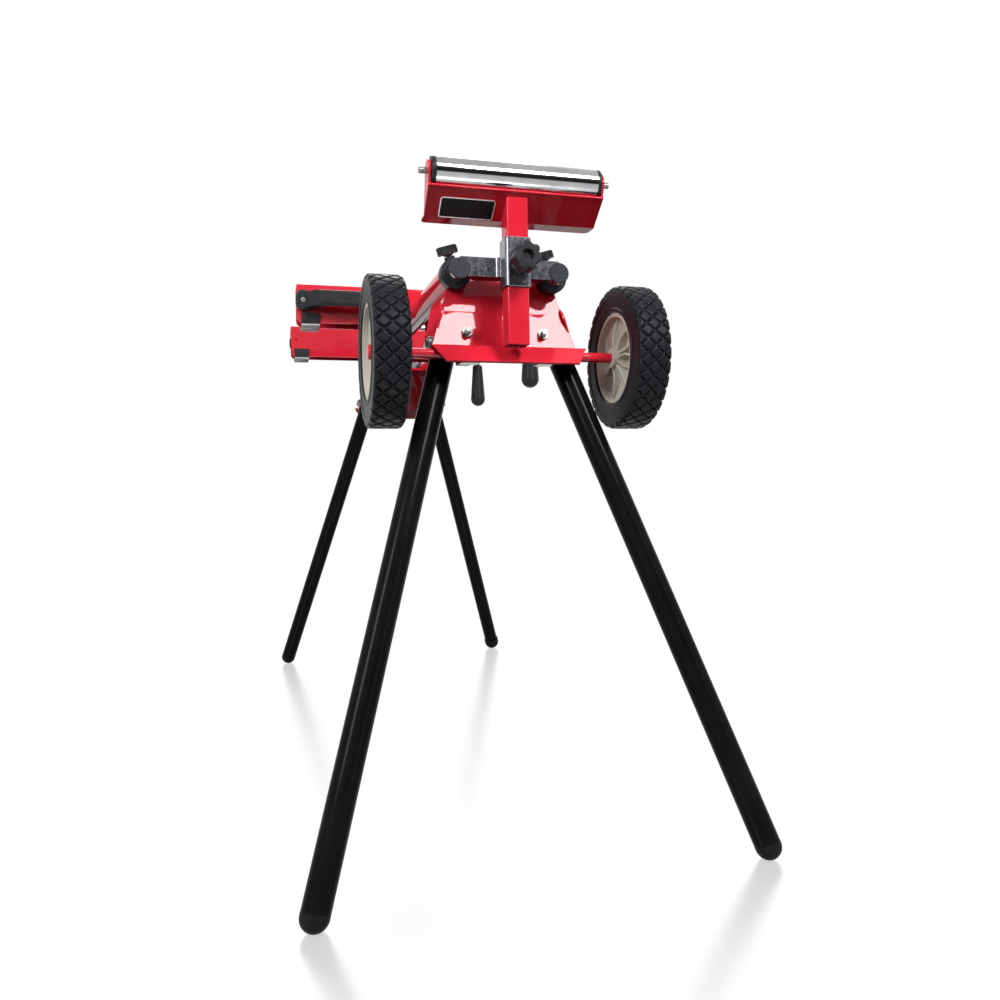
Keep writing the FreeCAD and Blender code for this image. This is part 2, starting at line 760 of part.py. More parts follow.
def make_level_foot(side):
    seat, _ = pivot_frame(side)
    down = leg_direction(side)
    dome_at = seat + down * level_dome_span
    dome = Part.makeSphere(level_foot_r, dome_at)
    rim = rod(dome_at - down * level_foot_rim, down, level_foot_r, level_foot_rim)
    above_height = level_foot_rim + level_foot_r
    above = rod(dome_at - down * above_height, down, level_foot_d, above_height)
    stud_from = dome_at - down * (level_foot_rim + level_stud_length)
    stud = rod(stud_from, down, level_stud_d / 2, level_stud_length)
    return joined(dome.cut(above), rim, stud)


def make_level_insert(side):
    seat, _ = pivot_frame(side)
    down = leg_direction(side)
    end = seat + down * (level_dome_span - level_foot_rim - level_gap)
    plug = rod(end - down * level_insert, down, leg_r - leg_wall - seat_gap, level_insert)
    return plug.cut(rod(end - down * level_insert, down, level_stud_d / 2 + running_gap, level_insert))


# Wheels, axle and the clamps that hold the axle behind the bracket.
def turned(section, x_middle):
    # Revolves (radius, x) corners about the axle line.
    corners = [point(x_middle + x, axle_y, axle_z + radius) for radius, x in section]
    face = Part.Face(Part.makePolygon(corners + corners[:1]))
    return face.revolve(point(x_middle, axle_y, axle_z), along_x, full_turn)


def patterned(shape, x_middle, count, first_turn):
    # Copies of a shape, evenly spaced round the axle line.
    copies = []
    for step in range(count):
        copy = shape.copy()
        copy.rotate(point(x_middle, axle_y, axle_z), along_x, first_turn + full_turn * step / count)
        copies.append(copy)
    return copies


def make_tyre(x_middle):
    # A turned carcass with a ring pressed into each side, and diamond blocks in staggered columns.
    half = tyre_width / 2
    rim_r = rim_d / 2
    ring_r = rim_r + side_ring_edge
    groove_r = wheel_d / 2 - tread_depth
    side_r = groove_r - shoulder_drop
    profile = [(rim_r, half - bead_inset), (rim_r + bead_inset, half), (ring_r, half),
               (ring_r + side_ring, half - side_ring), (side_r - side_ring_edge, half - side_ring),
               (side_r - side_ring_edge + side_ring, half), (side_r, half), (groove_r, half - shoulder_run)]
    carcass = turned(profile + [(radius, -x) for radius, x in reversed(profile)], x_middle)
    half_step = full_turn / tread_rows / 2
    middle_block = make_tread_block(x_middle)
    blocks = patterned(middle_block, x_middle, tread_rows, half_step)
    for side in (LEFT, RIGHT):
        beside = middle_block.copy()
        beside.translate(along_x * (side * tread_pitch / 2))
        blocks += patterned(beside, x_middle, tread_rows, 0)
        blocks += patterned(make_edge_block(x_middle, side), x_middle, tread_rows, half_step)
    return carcass.fuse(blocks)


def tread_block_halves():
    # Half the width and half the length of a block, with the grooves left free.
    half_width = tread_pitch / 2
    half_length = math.pi * wheel_d / tread_rows / 2
    share = 1 - tread_groove / 2 * math.hypot(half_width, half_length) / (half_width * half_length)
    return half_width * share, half_length * share


def make_tread_block(x_middle):
    half_width, half_length = tread_block_halves()
    outline = [(x_middle - half_width, axle_y), (x_middle, axle_y + half_length),
               (x_middle + half_width, axle_y), (x_middle, axle_y - half_length)]
    top = math.sqrt((wheel_d / 2) ** 2 - half_length ** 2)
    return prism_xy(outline, axle_z + wheel_d / 2 - tread_depth - tread_root, axle_z + top)


def make_edge_block(x_middle, side):
    # The inner half of a block, carried out over the tyre's rounded shoulder.
    half_width, half_length = tread_block_halves()
    half = tyre_width / 2
    top = math.sqrt((wheel_d / 2) ** 2 - half_length ** 2)
    foot_r = wheel_d / 2 - tread_depth - shoulder_drop - tread_root
    outline = [(x_middle + side * (tread_pitch - half_width), axle_y),
               (x_middle + side * tread_pitch, axle_y + half_length),
               (x_middle + side * half, axle_y + half_length),
               (x_middle + side * half, axle_y - half_length),
               (x_middle + side * tread_pitch, axle_y - half_length)]
    whole = prism_xy(outline, axle_z + foot_r, axle_z + top)
    inner = x_middle + side * (half - shoulder_run)
    outer = x_middle + side * half
    rounding = [(inner, axle_z + top), (outer, axle_z + top - shoulder_drop), (outer, axle_z + wheel_d / 2)]
    return whole.cut(prism_xz(rounding, axle_y - half_length, axle_y + half_length))


def make_hub(side):
    # A moulded rim, a dished web near the outer face, and bowed ribs that fall from the boss to the rim.
    x_middle = side * wheel_track / 2
    half = hub_width / 2
    rim_r = rim_d / 2
    inner_r = rim_r - hub_rim_thick
    deep_r = inner_r - hub_draft
    web_in_rim = hub_web_rim - hub_web_thick
    web_in_boss = hub_web_boss - hub_web_thick
    boss_r = hub_boss_d / 2
    rim = [(inner_r, -half), (rim_r, -half), (rim_r, half), (inner_r, half), (deep_r, hub_web_rim),
           (deep_r, web_in_rim)]
    web = [(boss_r - hub_web_thick, web_in_boss), (inner_r, web_in_rim), (inner_r, hub_web_rim),
           (boss_r - hub_web_thick, hub_web_boss)]
    boss = [(0, -hub_boss_in), (hub_boss_tip_d / 2, -hub_boss_in), (boss_r, web_in_boss), (boss_r, hub_web_boss),
            (hub_boss_tip_d / 2, hub_boss_out), (0, hub_boss_out)]
    reach = [(0, hub_web_boss), (0, -hub_rib_top), (hub_boss_tip_d / 2, -hub_rib_top), (inner_r, -hub_rib_rim),
             (inner_r, hub_web_rim)]
    outwards = [[(radius, x * side) for radius, x in section] for section in (rim, web, boss, reach)]
    rim_body, web_body, boss_body, rib_room = [turned(section, x_middle) for section in outwards]
    rib = make_hub_rib(x_middle).common(rib_room)
    ribs = patterned(rib, x_middle, hub_ribs, 0)
    bore_from = point(x_middle - hub_width, axle_y, axle_z)
    bore = rod(bore_from, along_x, axle_r + running_gap, 2 * hub_width)
    return joined(rim_body, web_body, boss_body, *ribs).cut(bore)


def make_hub_rib(x_middle):
    # A bowed wall from the boss out to the rim, over the whole width of the hub.
    root = point(x_middle - hub_width / 2, axle_y, axle_z)
    inner_r = hub_boss_tip_d / 2 - hub_rib_thick
    outer_r = rim_d / 2 - hub_rim_thick / 2
    middle_r = (inner_r + outer_r) / 2
    half = hub_rib_thick / 2
    edges = []
    for offset in (-half, half):
        ends = [root + point(0, offset, inner_r), root + point(0, offset, outer_r)]
        edges.append((ends[0], root + point(0, offset + hub_rib_bow, middle_r), ends[1]))
    first, second = edges
    outline = Part.Wire([Part.Arc(*first).toShape(), Part.LineSegment(first[2], second[2]).toShape(),
                         Part.Arc(second[2], second[1], second[0]).toShape(),
                         Part.LineSegment(second[0], first[0]).toShape()])
    return Part.Face(outline).extrude(along_x * hub_width)


axle_half = wheel_track / 2 + hub_boss_out + axle_end


def make_axle():
    return rod(point(-axle_half, axle_y, axle_z), along_x, axle_r, 2 * axle_half)


def make_axle_cap(side):
    inner_x = side * (wheel_track / 2 + hub_boss_out + slide_gap)
    cap = rod(point(inner_x, axle_y, axle_z), along_x * side, axle_cap_d / 2, axle_cap_thick)
    cap = cap.makeFillet(axle_cap_thick / 3, [cap.Edges[0]])
    bore_length = axle_half - abs(inner_x)
    return cap.cut(rod(point(inner_x, axle_y, axle_z), along_x * side, axle_r + seat_gap, bore_length))


def clamp_bolt_frame(side):
    # Where a clamp bolt leaves the bracket's lower slope, and its outward direction.
    rise = bracket_fold_z - bracket_bottom_z
    share = (clamp_bolt_z - bracket_bottom_z) / rise
    start = point(side * clamp_spacing / 2, bracket_bottom_y - share * bracket_fold_back, clamp_bolt_z)
    outward = point(0, rise, bracket_fold_back)
    outward.normalize()
    return start, outward


def make_axle_clamp(side):
    # A block behind the lower slope that turns out under the shelf to an eye round the axle.
    start, outward = clamp_bolt_frame(side)
    lean = bracket_fold_back / (bracket_fold_z - bracket_bottom_z)
    depth = math.hypot(1, lean)
    top_z = clamp_bolt_z + clamp_rise
    shelf_z = bracket_bottom_z - plate
    low_z = axle_z - clamp_boss_r
    top_y = bracket_bottom_y - (top_z - bracket_bottom_z) * lean - plate * depth
    turn_y = bracket_bottom_y + plate * lean - plate * depth
    strap_y = clamp_strap * depth
    half = clamp_width / 2
    middle_x = side * clamp_spacing / 2
    section = [(top_y, top_z), (turn_y, shelf_z), (axle_y, shelf_z), (axle_y, low_z), (turn_y - strap_y, low_z),
               (turn_y - strap_y, shelf_z), (top_y - strap_y, top_z)]
    body = prism_yz(section, middle_x - half, middle_x + half)
    eye_from = point(middle_x - half, axle_y, axle_z)
    body = joined(body, rod(eye_from, along_x, clamp_boss_r, clamp_width))
    low_y = flange_top_y + flange_flare
    low_z_inside = bracket_bottom_z - flange_height - plate * math.sin(flange_lean)
    flange_room = [(turn_y, shelf_z), (turn_y, bracket_bottom_z), (flange_top_y, bracket_bottom_z),
                   (low_y, bracket_bottom_z - flange_height),
                   (low_y - plate * math.cos(flange_lean), low_z_inside),
                   (flange_top_y - plate / math.cos(flange_lean) + plate * math.tan(flange_lean), shelf_z)]
    body = body.cut(prism_yz(flange_room, middle_x - clamp_width, middle_x + clamp_width))
    bore = rod(eye_from, along_x, axle_r + seat_gap, clamp_width)
    hole = rod(start - outward * leg_od, outward, clamp_bolt_d / 2 + seat_gap, leg_od)
    return body.cut(bore).cut(hole)


def make_clamp_bolt(side):
    start, outward = clamp_bolt_frame(side)
    back = plate + clamp_strap
    length = back + hex_head_thick + clamp_bolt_end
    shank = rod(start - outward * back, outward, clamp_bolt_d / 2, length)
    head = hex_head(start - outward * back, outward * -1, hex_head_flats, hex_head_thick)
    nut = hex_head(start, outward, hex_head_flats, hex_head_thick)
    return joined(shank, head, nut)


# Saw mounts: a channel across the rails, drawn about Y = 0 with its handle side at +Y.
def make_channel():
    half = mount_width / 2
    low = point(mount_user_end, -half, mount_bottom_z)
    outside = block(low, point(mount_far_end, half, mount_top_z))
    bends = [e for e in edges_along(outside, along_x) if e.Vertexes[0].Point.z > mount_bottom_z + 1]
    outside = outside.makeFillet(mount_bend, bends)
    inner_low = point(mount_user_end, -half + mount_wall, mount_bottom_z)
    inside = block(inner_low, point(mount_far_end, half - mount_wall, mount_top_z - mount_wall))
    channel = outside.cut(inside)
    for end_x, inward in ((mount_user_end, 1), (mount_far_end, -1)):
        tip = block(point(min(end_x, end_x + inward * mount_corner), -half, mount_bottom_z),
                    point(max(end_x, end_x + inward * mount_corner), half, mount_bottom_z + mount_corner))
        rounding = rod(point(end_x + inward * mount_corner, -half, mount_bottom_z + mount_corner), along_y,
                       mount_corner, mount_width)
        channel = channel.cut(tip.cut(rounding))
    for side in (LEFT, RIGHT):
        arch_r = rail_r + slide_gap
        arch = rod(point(side * rail_x, -half, rail_axis_z), along_y, arch_r, mount_width)
        gate = block(point(side * rail_x - arch_r, -half, mount_bottom_z),
                     point(side * rail_x + arch_r, half, rail_axis_z))
        channel = channel.cut(arch).cut(gate)
    for step in (-0.5, 0.5):
        middle = point(saw_slot_middle + step * saw_slot_spacing, 0, mount_top_z - 2 * mount_wall)
        slot = slot_prism(middle, along_x, along_z, saw_slot_length, saw_slot_width, 3 * mount_wall)
        channel = channel.cut(slot)
    for x in handle_screw_xs():
        screw_hole = rod(point(x, -half, handle_screw_z), along_y, screw_d / 2 + seat_gap, mount_width)
        channel = channel.cut(screw_hole)
    pin_hole = rod(point(lever_x, -half, lever_z), along_y, lever_pin_d / 2 + seat_gap, mount_width)
    return channel.cut(pin_hole)


def handle_screw_xs():
    first = mount_user_end + handle_inset
    return [first, first + handle_screws]


def make_handle():
    face_y = mount_width / 2
    first, last = handle_screw_xs()
    top_y = face_y + handle_reach
    pad_r = handle_pad_width / 2
    rise_from = handle_pad_thick
    outline = [(first, face_y), (first, face_y + rise_from), (first + handle_arch, top_y),
               (last - handle_arch, top_y), (last, face_y + rise_from), (last, face_y),
               (last - pad_r, face_y), (last - pad_r - handle_arch, top_y - handle_bar),
               (first + pad_r + handle_arch, top_y - handle_bar), (first + pad_r, face_y)]
    low_z = handle_screw_z - handle_bar_height / 2
    bar = prism_xy(outline, low_z, low_z + handle_bar_height)
    long_edges = [e for e in edges_along(bar, along_x) if e.Length > handle_screws / 4]
    bar = bar.makeFillet(handle_rounding, [e for e in long_edges if e.Vertexes[0].Point.y > face_y + 1])
    pads = []
    for x in (first, last):
        middle = point(x, face_y, handle_screw_z)
        pad = slot_prism(middle, along_z, along_y, handle_pad_height, handle_pad_width, handle_pad_thick)
        rim = [e for e in pad.Edges if on_level(e, middle, along_y, handle_pad_thick)]
        pads.append(pad.makeFillet(handle_rounding, rim))
    handle = joined(bar, *pads)
    for x in (first, last):
        hole = rod(point(x, face_y, handle_screw_z), along_y, screw_d / 2 + seat_gap, handle_reach)
        sink_from = point(x, face_y + handle_pad_thick - screw_head_thick, handle_screw_z)
        sink = rod(sink_from, along_y, screw_head_d / 2 + slide_gap, handle_reach)
        handle = handle.cut(hole).cut(sink)
    return handle


def make_handle_screw(x):
    head_y = mount_width / 2 + handle_pad_thick - screw_head_thick
    inner_y = mount_width / 2 - 2 * mount_wall
    shank = rod(point(x, inner_y, handle_screw_z), along_y, screw_d / 2, head_y - inner_y)
    head = rod(point(x, head_y, handle_screw_z), along_y, screw_head_d / 2, screw_head_thick)
    head = head.makeFillet(screw_head_thick / 2, [head.Edges[0]])
    return joined(shank, head)


def make_lever_pin():
    half = mount_width / 2
    shank = rod(point(lever_x, -half, lever_z), along_y, lever_pin_d / 2, mount_width)
    heads = [rod(point(lever_x, y, lever_z), along_y, lever_pin_head_d / 2, mount_wall)
             for y in (half, -half - mount_wall)]
    return joined(shank, *heads)


def mount_foot_xs():
    return [mount_user_end + mount_foot_inset, mount_far_end - mount_foot_end_room - mount_foot_width]


def make_mount_foot(low_x):
    # A moulded clip on the lower edge of the channel's wall.
    wall_y = mount_width / 2
    outer = wall_y + mount_foot_cheek
    inner = outer - mount_foot_depth
    lip_y = wall_y - mount_wall - mount_foot_cheek
    floor_z = mount_bottom_z - mount_foot_floor
    cheek_z = mount_bottom_z + mount_foot_cheek_height
    lip_z = mount_bottom_z + mount_foot_lip_height
    section = [(inner, floor_z), (outer, floor_z), (outer, cheek_z), (wall_y, cheek_z), (wall_y, mount_bottom_z),
               (wall_y - mount_wall, mount_bottom_z), (wall_y - mount_wall, lip_z), (lip_y, lip_z),
               (lip_y, mount_bottom_z), (inner, mount_bottom_z)]
    return prism_yz(section, low_x, low_x + mount_foot_width)


def make_mount_pad(low_x):
    outer = mount_width / 2 + mount_foot_cheek
    floor_z = mount_bottom_z - mount_foot_floor
    pad = block(point(low_x, outer - mount_foot_depth, floor_z - mount_foot_pad),
                point(low_x + mount_foot_width, outer, floor_z))
    lower = [e for e in pad.Edges if all(v.Point.z < floor_z - mount_foot_pad / 2 for v in e.Vertexes)]
    return pad.makeChamfer(mount_foot_pad / 3, lower)


# Clamp lever: a cam on the pin presses the shoe on the far rail, and the grip hangs straight down.
def make_lever():
    half = lever_cam_width / 2
    cam_x = lever_x - lever_cam_offset
    cam = rod(point(cam_x, -half, lever_z), along_y, lever_cam_r, lever_cam_width)
    neck_end = lever_grip_start + lever_grip_length / 2
    neck = rod(point(lever_x, 0, lever_z), along_z * -1, lever_neck_d / 2, neck_end)
    hole = rod(point(lever_x, -half, lever_z), along_y, lever_pin_d / 2 + running_gap, lever_cam_width)
    return joined(cam, neck).cut(hole)


def make_grip():
    top_z = lever_z - lever_grip_start
    ball_r = lever_grip_d / 2
    ball_z = top_z - lever_grip_length + ball_r
    cone = Part.makeCone(ball_r, lever_grip_top_d / 2, top_z - ball_z, point(lever_x, 0, ball_z), along_z)
    rim = [e for e in cone.Edges if e.Closed and e.Vertexes[0].Point.z > top_z - 1]
    cone = cone.makeFillet(lever_grip_top_d / 5, rim)
    ball = Part.makeSphere(ball_r, point(lever_x, 0, ball_z))
    lower = block(point(lever_x - ball_r, -ball_r, ball_z - ball_r), point(lever_x + ball_r, ball_r, ball_z))
    neck_depth = lever_grip_length / 2
    socket = rod(point(lever_x, 0, top_z), along_z * -1, lever_neck_d / 2 + seat_gap, neck_depth)
    return joined(cone, ball.common(lower)).cut(socket)


def make_shoe():
    inner_half = mount_width / 2 - mount_wall - slide_gap
    cam_face = lever_x - lever_cam_offset - lever_cam_r - slide_gap
    low = point(rail_x, -inner_half, rail_axis_z - shoe_height / 2)
    bar = block(low, point(cam_face, inner_half, rail_axis_z + shoe_height / 2))
    rail_room = rod(point(rail_x, -inner_half, rail_axis_z), along_y, rail_r + shoe_bore_room, 2 * inner_half)
    return bar.cut(rail_room)


def placed_mount(shape, end):
    # The near mount is a mirror of the far one, so both handles face outwards.
    moved = shape.copy()
    moved.translate(point(0, far_mount_y if end > 0 else near_mount_y, 0))
    return at_end(moved, end)


def at_end(shape, end):
    return shape if end > 0 else other_end(shape)


# Every node by name.
def make_nodes():
    nodes = {}
    nodes["left_rail"] = make_rail(LEFT)
    nodes["right_rail"] = make_rail(RIGHT)
    nodes["wheel_end_bracket"] = at_end(make_bracket(True), -1)
    nodes["far_end_bracket"] = make_bracket(False)
    wheel_side = [at_end(shape, -1) for shape in (make_axle(), make_axle_cap(LEFT), make_axle_cap(RIGHT),
                                                  make_axle_clamp(LEFT), make_axle_clamp(RIGHT))]
    nodes["axle"] = wheel_side[0]
    nodes["axle_caps"] = group(*wheel_side[1:3])
    nodes["axle_clamps"] = group(*wheel_side[3:5])
    bolts = [at_end(make_clamp_bolt(side), -1) for side in (LEFT, RIGHT)]
    for end in (-1, 1):
        bolts += [at_end(make_pivot_bolt(side), end) for side in (LEFT, RIGHT)]
    nodes["frame_bolts"] = group(*bolts)
    collars = [at_end(make_collar(side), end) for end in (-1, 1) for side in (LEFT, RIGHT)]
    nodes["rail_collars"] = group(*collars)
    for side, side_name in ((LEFT, "left"), (RIGHT, "right")):
        x_middle = side * wheel_track / 2
        nodes[side_name + "_tyre"] = at_end(make_tyre(x_middle), -1)
        nodes[side_name + "_hub"] = at_end(make_hub(side), -1)
    for end, end_name in ((-1, "wheel_end"), (1, "far_end")):
        add_end_nodes(nodes, end, end_name)
    for end, mount_name in ((-1, "near_mount"), (1, "far_mount")):
        add_mount_nodes(nodes, end, mount_name)
    return nodes


def add_end_nodes(nodes, end, end_name):
    sides = (LEFT, RIGHT)
    nodes[end_name + "_arm_tubes"] = group(*[at_end(make_arm_tube(side), end) for side in sides])
    plugs = [make_arm_cap(side) for side in sides] + [make_arm_glide(side) for side in sides]
    nodes[end_name + "_arm_plugs"] = group(*[at_end(plug, end) for plug in plugs])
    nodes[end_name + "_crossbar"] = at_end(make_crossbar(), end)
    nodes[end_name + "_post_sleeve"] = at_end(make_sleeve(), end)
    nodes[end_name + "_star_knob"] = at_end(make_star_knob(), end)
    nodes[end_name + "_post"] = at_end(make_post(), end)
    nodes[end_name + "_tray"] = at_end(make_tray(), end)
    nodes[end_name + "_roller_pin"] = at_end(make_roller_pin(), end)
    nodes[end_name + "_roller"] = at_end(make_roller(), end)
    roller_ends = [make_roller_end(), across(make_roller_end())]
    nodes[end_name + "_roller_ends"] = group(*[at_end(shape, end) for shape in roller_ends])
    for side, side_name in ((LEFT, "left"), (RIGHT, "right")):
        levelling = end > 0 and side == RIGHT
        name = end_name + "_" + side_name
        nodes[name + "_wing_knob"] = at_end(make_wing_knob(side), end)
        end_gap = level_tube_end_gap if levelling else foot_rim
        nodes[name + "_leg"] = at_end(make_leg(side, end_gap), end)
        foot = make_level_foot(side) if levelling else make_foot(side)
        nodes[name + "_foot"] = at_end(foot, end)
        if levelling:
            nodes[name + "_leg_insert"] = at_end(make_level_insert(side), end)


def add_mount_nodes(nodes, end, mount_name):
    nodes[mount_name + "_channel"] = placed_mount(make_channel(), end)
    nodes[mount_name + "_handle"] = placed_mount(make_handle(), end)
    fasteners = [make_handle_screw(x) for x in handle_screw_xs()] + [make_lever_pin()]
    nodes[mount_name + "_fasteners"] = group(*[placed_mount(shape, end) for shape in fasteners])
    feet = [make_mount_foot(x) for x in mount_foot_xs()] + [make_mount_pad(x) for x in mount_foot_xs()]
    feet += [other_end(foot) for foot in feet]
    nodes[mount_name + "_feet"] = group(*[placed_mount(shape, end) for shape in feet])
    nodes[mount_name + "_clamp_shoe"] = placed_mount(make_shoe(), end)
    nodes[mount_name + "_lever"] = placed_mount(make_lever(), end)
    nodes[mount_name + "_grip"] = placed_mount(make_grip(), end)


os.makedirs("parts", exist_ok=True)
for node_name, node_shape in make_nodes().items():
    node_shape.exportStep("parts/" + node_name + ".step")
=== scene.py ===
import json
import math
import bmesh
import bpy
from mathutils import Matrix, Vector


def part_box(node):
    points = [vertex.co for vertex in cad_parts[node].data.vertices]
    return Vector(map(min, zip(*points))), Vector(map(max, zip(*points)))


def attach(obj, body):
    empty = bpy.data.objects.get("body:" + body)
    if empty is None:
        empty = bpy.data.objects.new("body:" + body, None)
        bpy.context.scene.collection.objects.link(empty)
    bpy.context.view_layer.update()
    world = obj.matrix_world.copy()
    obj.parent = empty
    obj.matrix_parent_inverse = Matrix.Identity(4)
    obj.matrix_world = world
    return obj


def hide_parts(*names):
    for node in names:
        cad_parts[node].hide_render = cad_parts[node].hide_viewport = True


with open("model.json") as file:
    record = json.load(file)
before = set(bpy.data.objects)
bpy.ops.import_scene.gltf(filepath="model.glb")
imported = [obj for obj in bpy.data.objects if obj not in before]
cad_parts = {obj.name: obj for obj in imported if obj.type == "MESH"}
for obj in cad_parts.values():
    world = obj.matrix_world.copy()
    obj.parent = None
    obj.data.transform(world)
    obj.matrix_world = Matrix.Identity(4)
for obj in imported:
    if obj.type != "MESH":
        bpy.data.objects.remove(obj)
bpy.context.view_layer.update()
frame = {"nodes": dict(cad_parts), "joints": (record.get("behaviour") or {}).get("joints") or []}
nodes = frame["nodes"]
mm = 0.001
scene = bpy.context.scene
scene.view_settings.view_transform = "Standard"


def linkObject(name, data):
    thing = bpy.data.objects.new(name, data)
    scene.collection.objects.link(thing)
    return thing


# camera: low, a little left of the wheel end, almost level
photoCamera = {
    "place": (-0.32344, -1.67298, 0.50624),
    "yaw": 0.2841,          # turned towards +X, radians
    "pitch": -0.0306,
    "roll": -0.0157,
    "lens": 30.438,         # millimetres, as the sensor
    "sensor": 36,
    "shift": (-0.018, 0.0006),
    "clip": (0.05, 60),
}


def placeCamera(look):
    yaw, pitch, roll = look["yaw"], look["pitch"], look["roll"]
    ahead = Vector((math.sin(yaw) * math.cos(pitch), math.cos(yaw) * math.cos(pitch), math.sin(pitch)))
    level = Vector((math.cos(yaw), -math.sin(yaw), 0))
    above = level.cross(ahead)
    right = level * math.cos(roll) + above * math.sin(roll)
    up = above * math.cos(roll) - level * math.sin(roll)
    lens = bpy.data.cameras.new("standCamera")
    lens.sensor_width = look["sensor"]
    lens.lens = look["lens"]
    lens.shift_x, lens.shift_y = look["shift"]
    lens.clip_start, lens.clip_end = look["clip"]
    camera = linkObject("standCamera", lens)
    turn = Matrix((right, up, -ahead)).transposed().to_4x4()
    camera.matrix_world = Matrix.Translation(look["place"]) @ turn
    scene.camera = camera


placeCamera(photoCamera)
print("camera placed")


# node helpers, all working on one material tree at a time
def newFinish(name):
    finish = bpy.data.materials.new(name)
    finish.use_nodes = True
    tree = finish.node_tree
    return finish, tree, tree.nodes["Principled BSDF"]


def setSockets(node, values):
    for socket, value in values.items():
        node.inputs[socket].default_value = value


def objectCoords(tree, stretch=(1, 1, 1)):
    coords = tree.nodes.new("ShaderNodeTexCoord")
    mapping = tree.nodes.new("ShaderNodeMapping")
    mapping.inputs["Scale"].default_value = stretch
    tree.links.new(coords.outputs["Object"], mapping.inputs["Vector"])
    return mapping.outputs["Vector"]


def noiseFac(tree, vector, scale, detail=3.0, rough=0.55):
    noise = tree.nodes.new("ShaderNodeTexNoise")
    setSockets(noise, {"Scale": scale, "Detail": detail, "Roughness": rough})
    tree.links.new(vector, noise.inputs["Vector"])
    return noise.outputs["Fac"]


def cellDistance(tree, vector, scale):
    cells = tree.nodes.new("ShaderNodeTexVoronoi")
    cells.inputs["Scale"].default_value = scale
    tree.links.new(vector, cells.inputs["Vector"])
    return cells.outputs["Distance"]


def spread(tree, fac, low, high, fromLow=0.3, fromHigh=0.7):
    span = tree.nodes.new("ShaderNodeMapRange")
    setSockets(span, {"From Min": fromLow, "From Max": fromHigh, "To Min": low, "To Max": high})
    tree.links.new(fac, span.inputs["Value"])
    return span.outputs["Result"]


# a mix of two colours, each a tuple or a socket
def blendColour(tree, fac, first, second):
    mix = tree.nodes.new("ShaderNodeMix")
    mix.data_type = "RGBA"
    tree.links.new(fac, mix.inputs["Factor"])
    colourInputs = [socket for socket in mix.inputs if socket.type == "RGBA"]
    for socket, colour in zip(colourInputs, (first, second)):
        if isinstance(colour, tuple):
            socket.default_value = (*colour, 1)
        else:
            tree.links.new(colour, socket)
    return next(socket for socket in mix.outputs if socket.type == "RGBA")


def bumpNormal(tree, height, strength, distance):
    bump = tree.nodes.new("ShaderNodeBump")
    setSockets(bump, {"Strength": strength, "Distance": distance})
    tree.links.new(height, bump.inputs["Height"])
    return bump.outputs["Normal"]


# where an edge is, for worn paint and for a painted highlight on edges: how far a rounded normal leans from
# the true one, as a cosine
edgeDetect = {"samples": 4, "lean": (0.75, 0.98)}


def edgeFac(tree, radius):
    rounded = tree.nodes.new("ShaderNodeBevel")
    rounded.samples = edgeDetect["samples"]
    rounded.inputs["Radius"].default_value = radius
    surface = tree.nodes.new("ShaderNodeNewGeometry")
    dot = tree.nodes.new("ShaderNodeVectorMath")
    dot.operation = "DOT_PRODUCT"
    tree.links.new(rounded.outputs["Normal"], dot.inputs[0])
    tree.links.new(surface.outputs["Normal"], dot.inputs[1])
    return spread(tree, dot.outputs["Value"], 1, 0, *edgeDetect["lean"])


def finishPaint(paint):
    finish, tree, shader = newFinish(paint["name"])
    vector = objectCoords(tree)
    cloud = noiseFac(tree, vector, paint["cloudScale"], detail=4)
    colour = blendColour(tree, spread(tree, cloud, 0, 1), paint["deep"], paint["light"])
    if "edge" in paint:
        edgeMask = edgeFac(tree, paint["edgeRadius"])
        patches = noiseFac(tree, vector, paint["scuffScale"], detail=5)
        patchy = spread(tree, patches, 0, paint["edgeShare"])
        scuff = tree.nodes.new("ShaderNodeMath")
        scuff.operation = "MULTIPLY"
        tree.links.new(edgeMask, scuff.inputs[0])
        tree.links.new(patchy, scuff.inputs[1])
        colour = blendColour(tree, scuff.outputs["Value"], colour, paint["edge"])
    tree.links.new(colour, shader.inputs["Base Color"])
    smear = noiseFac(tree, vector, paint["smearScale"], detail=5, rough=0.65)
    tree.links.new(spread(tree, smear, *paint["roughness"]), shader.inputs["Roughness"])
    peel = noiseFac(tree, vector, paint["peelScale"], detail=2)
    normal = bumpNormal(tree, peel, paint["peelStrength"], paint["peelDepth"])
    tree.links.new(normal, shader.inputs["Normal"])
    setSockets(shader, paint["sockets"])
    return finish


redCoat = {
    "name": "redCoat", "deep": (0.62, 0.016, 0.034), "light": (0.71, 0.023, 0.045), "cloudScale": 9,
    "edge": (0.78, 0.07, 0.09), "edgeRadius": 1.2 * mm, "edgeShare": 0.7, "scuffScale": 190,
    "roughness": (0.05, 0.085), "smearScale": 45,
    "peelScale": 520, "peelStrength": 0.035, "peelDepth": 0.2 * mm,
    "sockets": {"Specular IOR Level": 0.22},
}
trayCoat = {**redCoat, "name": "trayCoat", "sockets": {"Specular IOR Level": 0.1}}
legCoat = {
    "name": "legCoat", "deep": (0.0035, 0.0035, 0.004), "light": (0.006, 0.006, 0.007), "cloudScale": 14,
    "roughness": (0.15, 0.19), "smearScale": 60,
    "peelScale": 700, "peelStrength": 0.02, "peelDepth": 0.2 * mm,
    "sockets": {"Specular IOR Level": 0.04},
}


